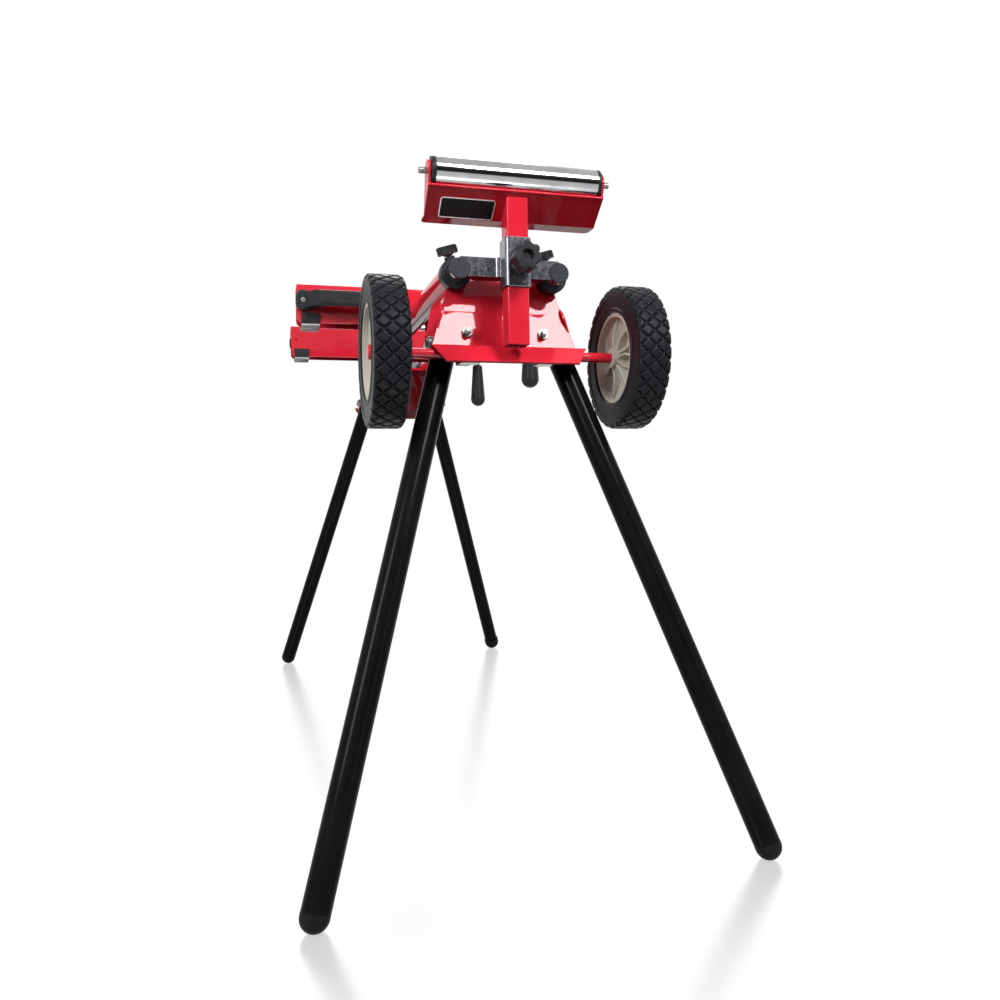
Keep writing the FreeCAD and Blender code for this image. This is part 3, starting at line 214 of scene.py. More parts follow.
def finishHammered(coat):
    finish, tree, shader = newFinish(coat["name"])
    vector = objectCoords(tree)
    patches = noiseFac(tree, vector, coat["patchScale"], detail=5, rough=0.7)
    colour = blendColour(tree, spread(tree, patches, 0, 1, *coat["patchEdge"]), coat["deep"], coat["light"])
    # every edge is blended evenly towards the lighter edge colour: a painted highlight on the edges
    edgeMask = edgeFac(tree, coat["edgeRadius"])
    colour = blendColour(tree, spread(tree, edgeMask, 0, coat["edgeShare"], 0, 1), colour, coat["edge"])
    tree.links.new(colour, shader.inputs["Base Color"])
    tree.links.new(spread(tree, patches, *coat["roughness"]), shader.inputs["Roughness"])
    dents = cellDistance(tree, vector, coat["dentScale"])
    normal = bumpNormal(tree, dents, coat["dentStrength"], coat["dentDepth"])
    tree.links.new(normal, shader.inputs["Normal"])
    setSockets(shader, coat["sockets"])
    return finish


hammerCoat = {
    "name": "hammerCoat", "deep": (0.105, 0.108, 0.122), "light": (0.205, 0.210, 0.235),
    "patchScale": 150, "patchEdge": (0.35, 0.68),
    # edge: the lighter grey of the painted highlight on the edges
    "edge": (0.45, 0.46, 0.50), "edgeRadius": 1.6 * mm, "edgeShare": 0.6,
    "roughness": (0.16, 0.30), "dentScale": 300, "dentStrength": 0.06, "dentDepth": 0.4 * mm,
    "sockets": {"Metallic": 0.85, "Coat Weight": 0.4, "Coat Roughness": 0.08},
}


metalGrainDepth = 0.05 * mm


def finishMetal(metal):
    finish, tree, shader = newFinish(metal["name"])
    vector = objectCoords(tree, metal["grain"])
    fine = noiseFac(tree, vector, metal["grainScale"], detail=4)
    cloud = noiseFac(tree, objectCoords(tree), metal["cloudScale"], detail=4)
    tree.links.new(blendColour(tree, spread(tree, cloud, 0, 1), metal["deep"], metal["light"]),
                   shader.inputs["Base Color"])
    tree.links.new(spread(tree, fine, *metal["roughness"]), shader.inputs["Roughness"])
    tree.links.new(bumpNormal(tree, fine, metal["bump"], metalGrainDepth), shader.inputs["Normal"])
    setSockets(shader, {"Metallic": 1.0})
    return finish


rollerChrome = {
    "name": "rollerChrome", "deep": (0.34, 0.34, 0.355), "light": (0.45, 0.45, 0.465), "cloudScale": 30,
    "grain": (40, 1, 1), "grainScale": 60, "roughness": (0.08, 0.14), "bump": 0.03,
}
tubeChrome = {
    "name": "tubeChrome", "deep": (0.58, 0.58, 0.60), "light": (0.74, 0.74, 0.76), "cloudScale": 36,
    "grain": (1, 30, 1), "grainScale": 70, "roughness": (0.07, 0.16), "bump": 0.03,
}
zincPlate = {
    "name": "zincPlate", "deep": (0.13, 0.13, 0.135), "light": (0.24, 0.237, 0.23), "cloudScale": 210,
    "grain": (1, 1, 1), "grainScale": 900, "roughness": (0.32, 0.48), "bump": 0.08,
}


# moulded plastic or rubber, its edges lightened evenly as a painted highlight; below padTop it may take
# another colour, blurred over padBlur
def finishMoulded(plastic):
    finish, tree, shader = newFinish(plastic["name"])
    vector = objectCoords(tree)
    cloud = noiseFac(tree, vector, plastic["cloudScale"], detail=4)
    colour = blendColour(tree, spread(tree, cloud, 0, 1), plastic["deep"], plastic["light"])
    # every edge is blended evenly towards the lighter edge colour: a painted highlight on the edges
    edgeMask = edgeFac(tree, plastic["edgeRadius"])
    colour = blendColour(tree, spread(tree, edgeMask, 0, plastic["edgeShare"], 0, 1), colour, plastic["edge"])
    if "pad" in plastic:
        heights = tree.nodes.new("ShaderNodeSeparateXYZ")
        tree.links.new(vector, heights.inputs["Vector"])
        top, blur = plastic["padTop"], plastic["padBlur"]
        below = spread(tree, heights.outputs["Z"], 1, 0, top - blur, top + blur)
        colour = blendColour(tree, below, colour, plastic["pad"])
    tree.links.new(colour, shader.inputs["Base Color"])
    tree.links.new(spread(tree, cloud, *plastic["roughness"]), shader.inputs["Roughness"])
    grain = noiseFac(tree, vector, plastic["grainScale"], detail=2)
    normal = bumpNormal(tree, grain, plastic["grainStrength"], plastic["grainDepth"])
    tree.links.new(normal, shader.inputs["Normal"])
    setSockets(shader, plastic["sockets"])
    return finish


# mouldings: edge is the lighter colour of the painted highlight on their edges
blackMoulding = {
    "name": "blackMoulding", "deep": (0.012, 0.0125, 0.015), "light": (0.022, 0.023, 0.027),
    "cloudScale": 80, "edge": (0.085, 0.088, 0.10), "edgeRadius": 0.8 * mm, "edgeShare": 0.5,
    "roughness": (0.30, 0.46), "grainScale": 1500, "grainStrength": 0.2, "grainDepth": 0.15 * mm,
    "sockets": {"Specular IOR Level": 0.17},
}
capMoulding = {
    "name": "capMoulding", "deep": (0.022, 0.025, 0.031), "light": (0.034, 0.038, 0.047),
    "cloudScale": 60, "edge": (0.14, 0.15, 0.18), "edgeRadius": 0.8 * mm, "edgeShare": 0.5,
    "roughness": (0.42, 0.56), "grainScale": 1500, "grainStrength": 0.2, "grainDepth": 0.15 * mm,
    "sockets": {"Specular IOR Level": 0.2},
}
creamMoulding = {
    "name": "creamMoulding", "deep": (0.47, 0.44, 0.375), "light": (0.56, 0.53, 0.46), "cloudScale": 24,
    "edge": (0.68, 0.64, 0.56), "edgeRadius": 1.0 * mm, "edgeShare": 0.4,
    "roughness": (0.38, 0.52), "grainScale": 1300, "grainStrength": 0.15, "grainDepth": 0.12 * mm,
    "sockets": {"Specular IOR Level": 0.4},
}
treadRubber = {
    "name": "treadRubber", "deep": (0.006, 0.0063, 0.008), "light": (0.012, 0.0125, 0.016),
    # edge: a lighter bluish grey on the blocks' edges, a painted highlight
    "cloudScale": 60, "edge": (0.075, 0.078, 0.09), "edgeRadius": 0.9 * mm, "edgeShare": 0.6,
    "roughness": (0.34, 0.48), "grainScale": 1100, "grainStrength": 0.25, "grainDepth": 0.2 * mm,
    "sockets": {"Specular IOR Level": 0.11},
}
footRubber = {
    "name": "footRubber", "deep": (0.007, 0.007, 0.008), "light": (0.013, 0.013, 0.015),
    "cloudScale": 90, "edge": (0.04, 0.04, 0.045), "edgeRadius": 0.8 * mm, "edgeShare": 0.4,
    "roughness": (0.36, 0.52), "grainScale": 1200, "grainStrength": 0.3, "grainDepth": 0.2 * mm,
    "sockets": {"Specular IOR Level": 0.05},
}
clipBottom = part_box("near_mount_feet")[0].z
clipMoulding = {
    "name": "clipMoulding", "deep": (0.012, 0.012, 0.014), "light": (0.024, 0.024, 0.028),
    "cloudScale": 90, "edge": (0.07, 0.07, 0.08), "edgeRadius": 0.6 * mm, "edgeShare": 0.4,
    "roughness": (0.34, 0.50), "grainScale": 1500, "grainStrength": 0.2, "grainDepth": 0.15 * mm,
    "pad": (0.50, 0.51, 0.52), "padTop": clipBottom + 3.5 * mm, "padBlur": 0.1 * mm,     # pale pad
    "sockets": {"Specular IOR Level": 0.17},
}

redFinish = finishPaint(redCoat)
trayFinish = finishPaint(trayCoat)
legFinish = finishPaint(legCoat)
hammerFinish = finishHammered(hammerCoat)
rollerFinish = finishMetal(rollerChrome)
tubeFinish = finishMetal(tubeChrome)
zincFinish = finishMetal(zincPlate)
blackFinish = finishMoulded(blackMoulding)
creamFinish = finishMoulded(creamMoulding)
treadFinish = finishMoulded(treadRubber)
footFinish = finishMoulded(footRubber)
capFinish = finishMoulded(capMoulding)
clipFinish = finishMoulded(clipMoulding)
print("finishes made")


# which finish each kind of piece wears, by the last part of its name
pieceFinish = {
    "rail": redFinish, "bracket": redFinish, "axle": redFinish, "tray": trayFinish, "post": redFinish,
    "channel": redFinish, "leg": legFinish, "crossbar": hammerFinish, "sleeve": hammerFinish,
    "lever": zincFinish, "arm_tubes": tubeFinish, "roller": rollerFinish, "roller_pin": zincFinish,
    "roller_ends": blackFinish, "axle_caps": redFinish, "axle_clamps": redFinish, "bolts": zincFinish,
    "fasteners": zincFinish, "collars": blackFinish, "arm_plugs": capFinish, "knob": blackFinish,
    "handle": blackFinish, "grip": blackFinish, "feet": clipFinish, "shoe": blackFinish,
    "insert": zincFinish, "tyre": treadFinish, "hub": creamFinish, "foot": footFinish,
}
# rounding of sheet, cast and moulded edges, metres
edgeRound = {
    "bracket": 0.8 * mm, "tray": 0.5 * mm, "post": 1.6 * mm, "channel": 0.8 * mm, "crossbar": 1.6 * mm,
    "sleeve": 1.4 * mm, "lever": 0.5 * mm, "hub": 0.5 * mm, "feet": 0.4 * mm,
}
# folds sharper than this, degrees, keep a crisp line between flat faces
foldAngle = {"bracket": 3, "tray": 20, "channel": 20, "post": 20, "crossbar": 20, "sleeve": 20}
# what every rounded edge shares
softEdge = {"weld": 0.001 * mm, "segments": 2, "angle": math.radians(40), "weight": 60}


def lookup(table, name):
    fits = [key for key in table if name.endswith(key)]
    return table[max(fits, key=len)] if fits else None


def softenEdges(piece, width, fold):
    weld = piece.modifiers.new("weld", "WELD")
    weld.merge_threshold = softEdge["weld"]
    bevel = piece.modifiers.new("softEdge", "BEVEL")
    bevel.width = width
    bevel.segments = softEdge["segments"]
    bevel.limit_method = "ANGLE"
    bevel.angle_limit = softEdge["angle"]
    if fold:
        crease = piece.modifiers.new("crispFold", "EDGE_SPLIT")
        crease.use_edge_sharp = False
        crease.split_angle = math.radians(fold)
    even = piece.modifiers.new("evenNormals", "WEIGHTED_NORMAL")
    even.weight = softEdge["weight"]


for name, piece in nodes.items():
    piece.data.materials.clear()
    piece.data.materials.append(lookup(pieceFinish, name))
    width = lookup(edgeRound, name)
    if width:
        softenEdges(piece, width, lookup(foldAngle, name))
print("CAD nodes finished")


# small pieces are built as loops of points, each loop joined to the next
def addLoops(mesh, loops, faceFinish=None, around=False):
    rings = [[mesh.verts.new(spot) for spot in loop] for loop in loops]
    count = len(loops[0])
    pairs = zip(rings, rings[1:] + rings[:1]) if around else zip(rings, rings[1:])
    for level, (first, second) in enumerate(pairs):
        for k in range(count):
            after = (k + 1) % count
            face = mesh.faces.new((first[k], first[after], second[after], second[k]))
            face.material_index = faceFinish[level] if faceFinish else 0
    if around:
        return
    mesh.faces.new(list(reversed(rings[0])))
    top = mesh.faces.new(rings[-1])
    top.material_index = faceFinish[-1] if faceFinish else 0


def meshPiece(name, mesh, finishes):
    bmesh.ops.recalc_face_normals(mesh, faces=mesh.faces)
    data = bpy.data.meshes.new(name)
    mesh.to_mesh(data)
    mesh.free()
    for finish in finishes:
        data.materials.append(finish)
    return linkObject(name, data)


def shadeSmooth(data, sharp):
    data.polygons.foreach_set("use_smooth", [True] * len(data.polygons))
    data.set_sharp_from_angle(angle=math.radians(sharp))


def loopPiece(name, loops, finishes, faceFinish=None):
    mesh = bmesh.new()
    addLoops(mesh, loops, faceFinish)
    return meshPiece(name, mesh, finishes)


def flatLoop(spots, centre, across, along, lift):
    out = across.cross(along)
    return [centre + across * u + along * v + out * lift for u, v in spots]


def roundedBox(halfWide, halfTall, corner, steps):
    spots = []
    for quarter, (u, v) in enumerate(((1, 1), (-1, 1), (-1, -1), (1, -1))):
        for k in range(steps + 1):
            turn = math.pi / 2 * (quarter + k / steps)
            spots.append((u * (halfWide - corner) + corner * math.cos(turn),
                          v * (halfTall - corner) + corner * math.sin(turn)))
    return spots


def ringSpots(radius, count):
    return [(radius * math.cos(2 * math.pi * k / count), radius * math.sin(2 * math.pi * k / count))
            for k in range(count)]


# tyres: rounded diamond blocks with bevelled brows, cut into a turned carcass
treadForm = {
    "rows": 31, "pitch": 22 * mm, "depth": 3.2 * mm,        # blocks round the tyre, spacing across it
    "fine": 10,                                             # mesh steps to half a block
    "bulge": 1.15,                                          # 1 is a straight sided diamond
    # where a block's wall, bevel and flat top begin, 0 in its middle
    "foot": 0.88, "brow": 0.80, "crown": 0.58,
    "browHigh": 0.72,
    "shoulderRun": 6.5 * mm, "shoulderDrop": 5 * mm,        # rounding of the tread's edge
    "rim": 64 * mm, "bead": 2.5 * mm,                       # rim's radius and the chamfer at it
    "edge": 6 * mm, "ring": 1 * mm, "lugFoot": 0.8 * mm,    # wall's flat edge, sunk ring, blocks' foot
    "sharp": 34,                                            # edges keener than this, degrees, stay crisp
}


# how far out from the middle of its block a spot lies, measured in half blocks
def blockShare(across, around, bulge):
    m, k = math.floor(across), math.floor(around)
    even = (m + k) % 2 == 0
    middles = ((m, k), (m + 1, k + 1)) if even else ((m + 1, k), (m, k + 1))
    return min((abs(across - u) ** bulge + abs(around - v) ** bulge) ** (1 / bulge) for u, v in middles)


def blockHeight(share, form):
    if share >= form["foot"]:
        return 0.0
    if share >= form["brow"]:
        return form["browHigh"] * (form["foot"] - share) / (form["foot"] - form["brow"])
    bevel = min(1, (form["brow"] - share) / (form["brow"] - form["crown"]))
    return form["browHigh"] + (1 - form["browHigh"]) * bevel


def shoulderDip(across, half, form):
    past = max(0, abs(across) - half + form["shoulderRun"]) / form["shoulderRun"]
    return form["shoulderDrop"] * (1 - math.sqrt(max(0, 1 - past * past)))


# rings of (place across, radii round one block), from the left bead over the tread to the right bead
def tyreRings(radius, half, form):
    side = radius - form["depth"] - form["shoulderDrop"]
    rim, ring, edge = form["rim"], form["ring"], form["edge"]
    wall = [(rim, half - form["bead"]), (rim + form["bead"], half), (rim + edge, half),
            (rim + edge + ring, half - ring), (side - edge, half - ring), (side - edge + ring, half),
            (side - form["lugFoot"], half)]
    fine, step = form["fine"], form["pitch"] / 2 / form["fine"]
    inside = math.floor(half / step)
    crossings = [-half] + [step * k for k in range(-inside, inside + 1)] + [half]
    rings = [(-x, [r] * 2 * fine) for r, x in wall]
    for across in crossings:
        top = radius - shoulderDip(across, half, form)
        halves = across * 2 / form["pitch"]
        shares = [blockShare(halves, k / fine, form["bulge"]) for k in range(2 * fine)]
        heights = [form["depth"] * (blockHeight(share, form) - 1) for share in shares]
        rings.append((across, [top + height for height in heights]))
    return rings + [(x, [r] * 2 * fine) for r, x in reversed(wall)]


def buildTyre(sideName, form):
    low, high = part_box(sideName + "_tyre")
    centre = (low + high) / 2
    half, radius = (high.x - low.x) / 2, (high.z - low.z) / 2
    rings = tyreRings(radius, half, form)
    fine = form["fine"]
    count = form["rows"] * 2 * fine
    spots, faces = [], []
    for across, radii in rings:
        for k in range(count):
            turn = 2 * math.pi * k / count
            out = Vector((0, math.sin(turn), math.cos(turn))) * radii[k % (2 * fine)]
            spots.append(centre + Vector((across, 0, 0)) + out)
    for level in range(len(rings)):
        after = (level + 1) % len(rings)
        middle = (rings[level][0] + rings[after][0]) / form["pitch"]
        for k in range(count):
            beside = (k + 1) % count
            a, b = level * count + k, level * count + beside
            c, d = after * count + beside, after * count + k
            even = (math.floor(middle) + math.floor((k + 0.5) / fine)) % 2 == 0
            faces += [(a, b, d), (b, c, d)] if even else [(a, b, c), (a, c, d)]
    data = bpy.data.meshes.new(sideName + "TreadTyre")
    data.from_pydata(spots, [], faces)
    shadeSmooth(data, form["sharp"])
    data.materials.append(treadFinish)
    piece = linkObject(sideName + "TreadTyre", data)
    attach(piece, sideName + "_wheel")
    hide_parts(sideName + "_tyre")


for sideName in ("left", "right"):
    buildTyre(sideName, treadForm)
print("tyres treaded")


# hub's inner face: a shallow dish with bowed ribs that fall from the boss to the rim
hubFace = {
    "ribs": 7, "ribThick": 3.5 * mm, "bow": 9 * mm, "steps": 16,
    "from": 11 * mm, "to": 61 * mm,                         # rib's ends, from the axle
    # ribs' edges and dish in mm: distance from the axle, height inwards from the wheel's middle
    "crest": ((13.5, 20), (34, 17.5), (59, 12.5)),
    "dish": ((14, 5), (36, 7), (60, 10.5)),
    "dishThick": 2.5 * mm, "around": 96,
    "edgeRound": 0.9 * mm, "footSunk": 1.5 * mm,            # ribs' rounded edge, and their feet in the dish
    "crestFlat": 0.5,                                       # share of the rib's width that is flat on top
    "sharp": 30,
}


# height at a distance from the axle, between the rows of a table
def heightAt(radius, table):
    spots = [(r * mm, high * mm) for r, high in table]
    for (lowR, lowHigh), (highR, highHigh) in zip(spots, spots[1:]):
        if radius <= highR or highR == spots[-1][0]:
            share = min(1, max(0, (radius - lowR) / (highR - lowR)))
            return lowHigh + (highHigh - lowHigh) * share


# plan of a rib: an arc that bows out between its two ends
def ribPlan(share, form):
    half = (form["to"] - form["from"]) / 2
    sweep = (half * half + form["bow"] ** 2) / (2 * form["bow"])
    lean = math.asin(half / sweep) * (2 * share - 1)
    along = form["from"] + half + sweep * math.sin(lean)
    aside = sweep * math.cos(lean) - sweep + form["bow"]
    return along, aside, lean


def buildHubFace(sideName, inwards, form):
    low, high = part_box(sideName + "_tyre")
    centre = (low + high) / 2
    mesh = bmesh.new()

    def spot(turn, along, aside, height):
        return (centre.x + inwards * height, centre.y + aside * math.cos(turn) + along * math.sin(turn),
                centre.z + along * math.cos(turn) - aside * math.sin(turn))

    upper = [(r * mm, height * mm) for r, height in form["dish"]]
    under = [(r, height - form["dishThick"]) for r, height in reversed(upper)]
    rows = []
    for k in range(form["around"]):
        turn = 2 * math.pi * k / form["around"]
        rows.append([spot(turn, r, 0, height) for r, height in upper + under])
    addLoops(mesh, rows, around=True)
    half, flat = form["ribThick"] / 2, form["crestFlat"]
    for k in range(form["ribs"]):
        turn = 2 * math.pi * k / form["ribs"]
        rows = []
        for step in range(form["steps"] + 1):
            along, aside, lean = ribPlan(step / form["steps"], form)
            far = math.hypot(along, aside)
            crest = heightAt(far, form["crest"])
            brow = crest - form["edgeRound"]
            foot = heightAt(far, form["dish"]) - form["footSunk"]
            section = ((-1, foot), (-1, brow), (-flat, crest), (flat, crest), (1, brow), (1, foot))
            tiltAlong, tiltAside = half * math.sin(lean), half * math.cos(lean)
            rows.append([spot(turn, along + tiltAlong * u, aside + tiltAside * u, height)
                         for u, height in section])
        addLoops(mesh, rows)
    piece = meshPiece(sideName + "HubFace", mesh, (creamFinish,))
    shadeSmooth(piece.data, form["sharp"])
    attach(piece, sideName + "_wheel")


buildHubFace("left", 1, hubFace)
buildHubFace("right", -1, hubFace)
print("hub faces ribbed")


# bare badge plate on the wheel end tray: black face in a thin silver frame
badge = {
    "middleX": -64.8 * mm, "down": 29 * mm, "half": (37.2 * mm, 15.4 * mm),
    "corner": 4 * mm, "cornerSteps": 6,
    "border": 1.3 * mm, "thick": 0.9 * mm, "sunk": 0.35 * mm,
    "hemIn": 6 * mm, "wallRun": 36 * mm, "wallFall": 28.5 * mm,     # tray's front wall, in from its box
}
silverTrim = {
    "name": "silverTrim", "deep": (0.60, 0.60, 0.61), "light": (0.74, 0.74, 0.75), "cloudScale": 120,
    "grain": (1, 1, 1), "grainScale": 700, "roughness": (0.22, 0.34), "bump": 0.05,
}
badgeBlack = {
    "name": "badgeBlack", "deep": (0.004, 0.004, 0.005), "light": (0.009, 0.009, 0.010),
    "cloudScale": 50, "roughness": (0.22, 0.34), "smearScale": 70,
    "peelScale": 900, "peelStrength": 0.05, "peelDepth": 0.1 * mm,
    "sockets": {"Specular IOR Level": 0.12},
}
silverFinish = finishMetal(silverTrim)
badgeFinish = finishPaint(badgeBlack)


def buildBadge(plate):
    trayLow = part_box("wheel_end_tray")[0]
    hem = Vector((0, trayLow.y + plate["hemIn"], trayLow.z + plate["wallFall"]))
    fall = Vector((0, plate["wallRun"], -plate["wallFall"])).normalized()
    across = Vector((1, 0, 0))
    centre = hem + fall * plate["down"] + across * plate["middleX"]
    halfWide, halfTall = plate["half"]
    edge, corner, steps = plate["border"], plate["corner"], plate["cornerSteps"]
    outer = roundedBox(halfWide, halfTall, corner, steps)
    inner = roundedBox(halfWide - edge, halfTall - edge, corner - edge, steps)
    high = plate["thick"]
    low = high - plate["sunk"]
    along = -fall
    sign = 1 if across.cross(along).z < 0 else -1       # out of the wall is downwards
    levels = ((outer, 0), (outer, high), (inner, high), (inner, low))
    loops = [flatLoop(spots, centre, across, along, sign * lift) for spots, lift in levels]
    piece = loopPiece("badgePlate", loops, (silverFinish, badgeFinish), (0, 0, 0, 1))
    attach(piece, "wheel_end_head")


buildBadge(badge)
print("badge plate on the tray")


# bolt heads: a chamfered face with a socket sunk in it, the socket's walls and floor painted near black as
# painted shade
headForm = {
    "seat": -0.4 * mm, "shoulder": 0.5,         # rim's foot below its seat, and its top in heights
    "crown": 0.86, "floor": 0.8,                # chamfer's and socket floor's share of what is round them
    "crossNeck": 0.36, "crossArm": 2,           # cross socket: inner share of its reach, arm in steps
}


def socketHead(name, body, centre, axis, head):
    axis = Vector(axis).normalized()
    across = axis.orthogonal().normalized()
    along = axis.cross(across)
    centre = Vector(centre)
    count = head["count"]
    flats = head["socket"]
    hole = []
    for k in range(count):
        turn = 2 * math.pi * k / count
        if head["kind"] == "hex":
            reach = flats / 2 / math.cos((turn + math.pi / 6) % (math.pi / 3) - math.pi / 6)
        else:
            inArm = k % (count // 4) < headForm["crossArm"]
            reach = flats / 2 * (1.0 if inArm else headForm["crossNeck"])
        hole.append((reach * math.cos(turn), reach * math.sin(turn)))
    high, sunk = head["high"], head["sunk"]
    rim = ringSpots(head["radius"], count)
    crown = ringSpots(head["radius"] * headForm["crown"], count)
    floor = [(u * headForm["floor"], v * headForm["floor"]) for u, v in hole]
    levels = ((rim, headForm["seat"]), (rim, high * headForm["shoulder"]), (crown, high), (hole, high),
              (floor, high - sunk))
    loops = [flatLoop(spots, centre, across, along, lift) for spots, lift in levels]
    piece = loopPiece(name, loops, (zincFinish, socketPaintedShadeFinish), (0, 0, 0, 1, 1))
    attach(piece, body)


# near-black metal on the socket's walls and floor: painted shade in the recess
socketPaintedShade = {
    "name": "socketPaintedShade", "deep": (0.012, 0.012, 0.012), "light": (0.030, 0.029, 0.028),
    "cloudScale": 300, "grain": (1, 1, 1), "grainScale": 900, "roughness": (0.45, 0.6), "bump": 0.05,
}
socketPaintedShadeFinish = finishMetal(socketPaintedShade)
pivotHead = {
    "kind": "hex", "count": 24, "radius": 5.9 * mm, "socket": 6.4 * mm, "high": 0.9 * mm, "sunk": 0.8 * mm,
    "reach": 27 * mm,                           # along the leg's hinge, from its middle
}
handleHead = {
    "kind": "cross", "count": 24, "radius": 3.4 * mm, "socket": 4.6 * mm, "high": 0.5 * mm,
    "sunk": 0.45 * mm,
    "inset": 13 * mm, "screwRadius": 5 * mm,    # screws in from the handle's ends
}


def dressPivots():
    hinges = {joint["name"]: joint for joint in frame["joints"]}
    for endName, endBody in (("wheelEnd", "wheel_end"), ("farEnd", "far_end")):
        for sideName, side in (("Left", -1), ("Right", 1)):
            hinge = hinges[endBody + "_" + sideName.lower() + "_leg_fold"]
            axis = Vector(hinge["axis"])
            axis *= side if axis.x > 0 else -side       # out of the bracket
            top = Vector(hinge["pos_m"]) + axis * pivotHead["reach"]
            socketHead(endName + sideName + "PivotSocket", "frame", top, axis, pivotHead)


def dressHandles():
    for where, outwards in (("near", -1), ("far", 1)):
        handleLow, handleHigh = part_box(where + "_mount_handle")
        screwLow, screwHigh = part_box(where + "_mount_fasteners")
        face = screwLow.y if outwards < 0 else screwHigh.y
        height = screwHigh.z - handleHead["screwRadius"]
        spots = (handleLow.x + handleHead["inset"], handleHigh.x - handleHead["inset"])
        for k, x in enumerate(spots):
            name = where + "HandleSocket" + str(k + 1)
            socketHead(name, where + "_mount", (x, face, height), (0, outwards, 0), handleHead)


dressPivots()
dressHandles()
print("bolt sockets sunk")


# screw thread on the two clamp bolts: one ridge that climbs round the shank
clampThread = {
    "radius": 3.95 * mm, "ridge": 0.55 * mm, "root": 0.3 * mm,      # ridge out of the shank, root into it
    "pitch": 1.25 * mm, "halfWidth": 0.45,                          # ridge's half width in pitches
    "from": 5.6 * mm, "turns": 6, "steps": 24, "fadeSteps": 12,     # steps to a turn, and at each end
    "x": 55.5 * mm, "start": (-512.36 * mm, 705 * mm), "slope": (-53, 15.5),
}


def cutThread(name, x, thread):
    startY, startZ = thread["start"]
    axis = Vector((0, *thread["slope"])).normalized()
    across = Vector((1, 0, 0))
    along = axis.cross(across)
    base = Vector((x, startY, startZ)) + axis * thread["from"]
    steps, fadeSteps = thread["turns"] * thread["steps"], thread["fadeSteps"]
    inner, wide = thread["radius"] - thread["root"], thread["halfWidth"]
    loops = []
    for k in range(steps + 1):
        turn = 2 * math.pi * k / thread["steps"]
        out = across * math.cos(turn) + along * math.sin(turn)
        climb = k / thread["steps"]
        crest = thread["radius"] + thread["ridge"] * min(1, k / fadeSteps, (steps - k) / fadeSteps)
        section = ((inner, -wide), (crest, 0), (inner, wide))
        loops.append([base + out * far + axis * thread["pitch"] * (climb + aside)
                      for far, aside in section])
    piece = loopPiece(name, loops, (zincFinish,))
    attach(piece, "frame")


cutThread("leftClampThread", -clampThread["x"], clampThread)
cutThread("rightClampThread", clampThread["x"], clampThread)
print("clamp bolts threaded")


# white studio: world and floor show white, the lamps light the object
studio = {
    # world strength for diffuse light: at the horizon and overhead, and more of it from the left
    "fillLow": 0.05, "fillHigh": 0.50, "fillSky": (0.0, 0.9),
    "fillLeft": 0.45, "fillSide": (-1.0, -0.2),
    "floorSize": 30.0,
    "floorGlow": 1.13,
    "floorGloss": 0.44,                     # share of mirror in the floor
    "floorRoughness": 0.25,
    "floorChalk": 0.08, "chalkShade": 0.8,  # share of plain pale floor, and its grey
    "floorBounce": 0.05,                    # floor's grey for light that bounces off it
    "softbox": {"place": (0.55, -2.05, 1.96), "aim": (0, -0.53, 0.75), "size": (0.58, 0.58), "power": 38},
    "backSoftbox": {"place": (0.3, 1.7, 2.6), "aim": (0, 0.1, 0.8), "size": (1.2, 1.0), "power": 26},
    "leftSoftbox": {"place": (-2.0, -1.9, 1.75), "aim": (0.1, -0.5, 0.7), "size": (0.7, 1.1), "power": 46},
    "rightStrip": {"place": (1.35, -2.3, 1.0), "aim": (0.1, -0.5, 0.5), "size": (0.05, 1.7), "power": 3},
    # dark card behind the camera, which only the gloss of the wheel end reflects
    "card": {"low": (-0.15, 0.30), "high": (1.0, 1.52), "y": -2.02, "dark": 0.02,
             "fade": (0.46, 0.66),                  # heights: white below, dark above
             "reach": (1.36, 1.40, 1.64, 1.85)},    # metres from the card: white, dark, dark, white
}


def brightest(tree, values):
    total = values[0]
    for value in values[1:]:
        either = tree.nodes.new("ShaderNodeMath")
        either.operation = "MAXIMUM"
        tree.links.new(total, either.inputs[0])
        tree.links.new(value, either.inputs[1])
        total = either.outputs["Value"]
    return total


def seenDirectly(tree):
    path = tree.nodes.new("ShaderNodeLightPath")
    kinds = ("Is Camera Ray", "Is Glossy Ray", "Is Transmission Ray")
    return brightest(tree, [path.outputs[kind] for kind in kinds])


def buildWorld():
    world = bpy.data.worlds.new("whiteStudio")
    world.use_nodes = True
    tree = world.node_tree
    tree.nodes.clear()
    coords = tree.nodes.new("ShaderNodeTexCoord")
    heights = tree.nodes.new("ShaderNodeSeparateXYZ")
    tree.links.new(coords.outputs["Generated"], heights.inputs["Vector"])
    fill = tree.nodes.new("ShaderNodeBackground")
    fill.inputs["Color"].default_value = (1, 1, 1, 1)
    dome = spread(tree, heights.outputs["Z"], studio["fillLow"], studio["fillHigh"], *studio["fillSky"])
    side = spread(tree, heights.outputs["X"], studio["fillLeft"], 0, *studio["fillSide"])
    both = tree.nodes.new("ShaderNodeMath")
    tree.links.new(dome, both.inputs[0])
    tree.links.new(side, both.inputs[1])
    tree.links.new(both.outputs["Value"], fill.inputs["Strength"])
    white = tree.nodes.new("ShaderNodeBackground")
    setSockets(white, {"Color": (1, 1, 1, 1), "Strength": 1.0})
    mix = tree.nodes.new("ShaderNodeMixShader")
    out = tree.nodes.new("ShaderNodeOutputWorld")
    tree.links.new(seenDirectly(tree), mix.inputs["Fac"])
    tree.links.new(fill.outputs[0], mix.inputs[1])
    tree.links.new(white.outputs[0], mix.inputs[2])
    tree.links.new(mix.outputs[0], out.inputs["Surface"])
    scene.world = world


def flatPanel(name, corners):
    mesh = bpy.data.meshes.new(name)
    mesh.from_pydata(corners, [], [(0, 1, 2, 3)])
    panel = linkObject(name, mesh)
    finish = bpy.data.materials.new(name)
    finish.use_nodes = True
    finish.node_tree.nodes.clear()
    mesh.materials.append(finish)
    return panel, finish.node_tree


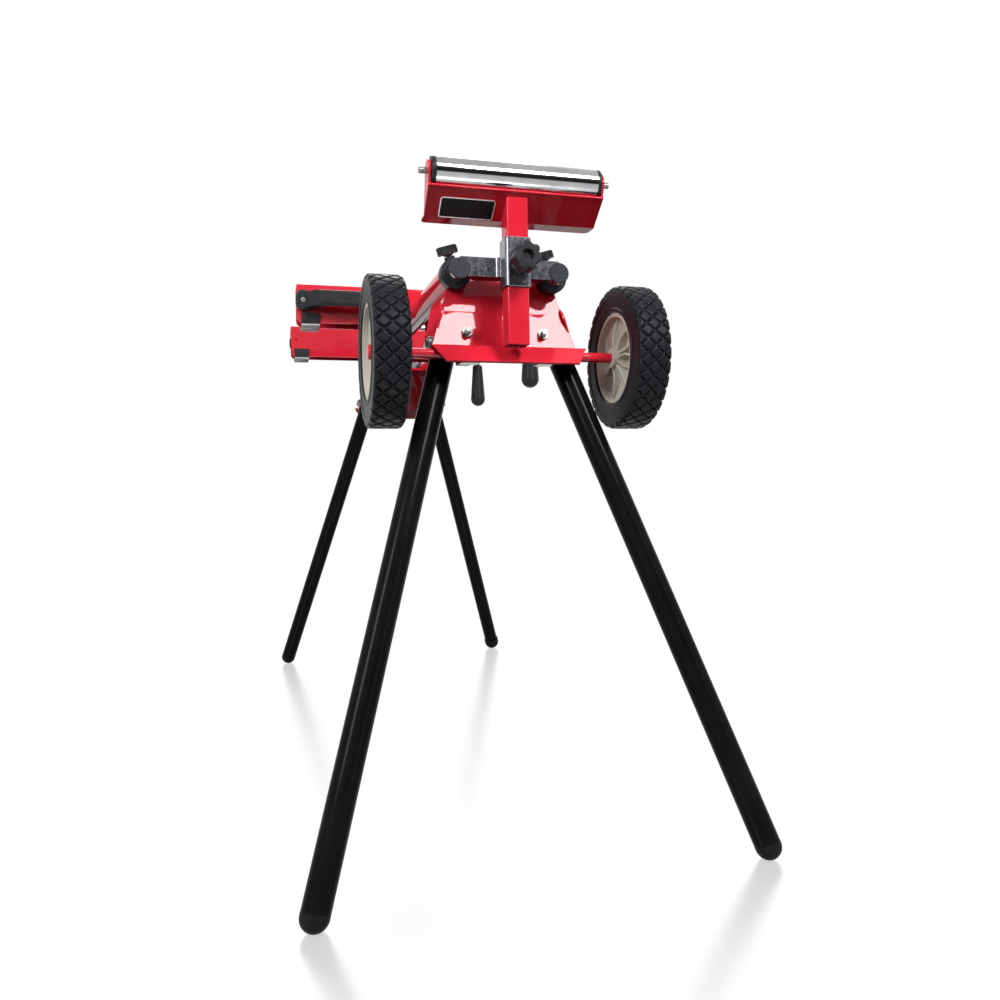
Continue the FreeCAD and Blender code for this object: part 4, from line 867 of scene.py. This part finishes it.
def buildFloor():
    half = studio["floorSize"] / 2
    corners = [(x * half, y * half, 0) for x, y in ((-1, -1), (1, -1), (1, 1), (-1, 1))]
    tree = flatPanel("studioFloor", corners)[1]
    glow = tree.nodes.new("ShaderNodeEmission")
    setSockets(glow, {"Color": (1, 1, 1, 1), "Strength": studio["floorGlow"]})
    gloss = tree.nodes.new("ShaderNodeBsdfGlossy")
    setSockets(gloss, {"Color": (1, 1, 1, 1), "Roughness": studio["floorRoughness"]})
    chalk = tree.nodes.new("ShaderNodeBsdfDiffuse")
    chalk.inputs["Color"].default_value = (*[studio["chalkShade"]] * 3, 1)
    bounce = tree.nodes.new("ShaderNodeBsdfDiffuse")
    bounce.inputs["Color"].default_value = (*[studio["floorBounce"]] * 3, 1)
    shine = tree.nodes.new("ShaderNodeMixShader")
    shine.inputs["Fac"].default_value = studio["floorGloss"]
    shade = tree.nodes.new("ShaderNodeMixShader")
    shade.inputs["Fac"].default_value = studio["floorChalk"]
    seen = tree.nodes.new("ShaderNodeMixShader")
    out = tree.nodes.new("ShaderNodeOutputMaterial")
    tree.links.new(glow.outputs[0], shine.inputs[1])
    tree.links.new(gloss.outputs[0], shine.inputs[2])
    tree.links.new(shine.outputs[0], shade.inputs[1])
    tree.links.new(chalk.outputs[0], shade.inputs[2])
    tree.links.new(seenDirectly(tree), seen.inputs["Fac"])
    tree.links.new(bounce.outputs[0], seen.inputs[1])
    tree.links.new(shade.outputs[0], seen.inputs[2])
    tree.links.new(seen.outputs[0], out.inputs["Surface"])


def standCard(card):
    (left, low), (right, high), y = card["low"], card["high"], card["y"]
    corners = [(left, y, low), (right, y, low), (right, y, high), (left, y, high)]
    panel, tree = flatPanel("darkCard", corners)
    for kind in ("visible_camera", "visible_diffuse", "visible_shadow", "visible_transmission"):
        setattr(panel, kind, False)
    path = tree.nodes.new("ShaderNodeLightPath")
    glow = tree.nodes.new("ShaderNodeEmission")
    away = path.outputs["Ray Length"]
    nearWhite, nearDark, farDark, farWhite = card["reach"]
    heights = tree.nodes.new("ShaderNodeSeparateXYZ")
    tree.links.new(objectCoords(tree), heights.inputs["Vector"])
    shades = (spread(tree, away, 1.0, card["dark"], nearWhite, nearDark),
              spread(tree, away, card["dark"], 1.0, farDark, farWhite),
              spread(tree, heights.outputs["Z"], 1.0, card["dark"], *card["fade"]))
    tree.links.new(brightest(tree, shades), glow.inputs["Strength"])
    out = tree.nodes.new("ShaderNodeOutputMaterial")
    tree.links.new(glow.outputs[0], out.inputs["Surface"])


def hangLamp(name, lamp):
    light = bpy.data.lights.new(name, "AREA")
    light.shape = "RECTANGLE"
    light.size, light.size_y = lamp["size"]
    light.energy = lamp["power"]
    holder = linkObject(name, light)
    place = Vector(lamp["place"])
    turn = (Vector(lamp["aim"]) - place).to_track_quat("-Z", "Y")
    holder.matrix_world = Matrix.Translation(place) @ turn.to_matrix().to_4x4()


buildWorld()
buildFloor()
standCard(studio["card"])
for lampName in ("softbox", "backSoftbox", "leftSoftbox", "rightStrip"):
    hangLamp(lampName, studio[lampName])
print("studio lit")
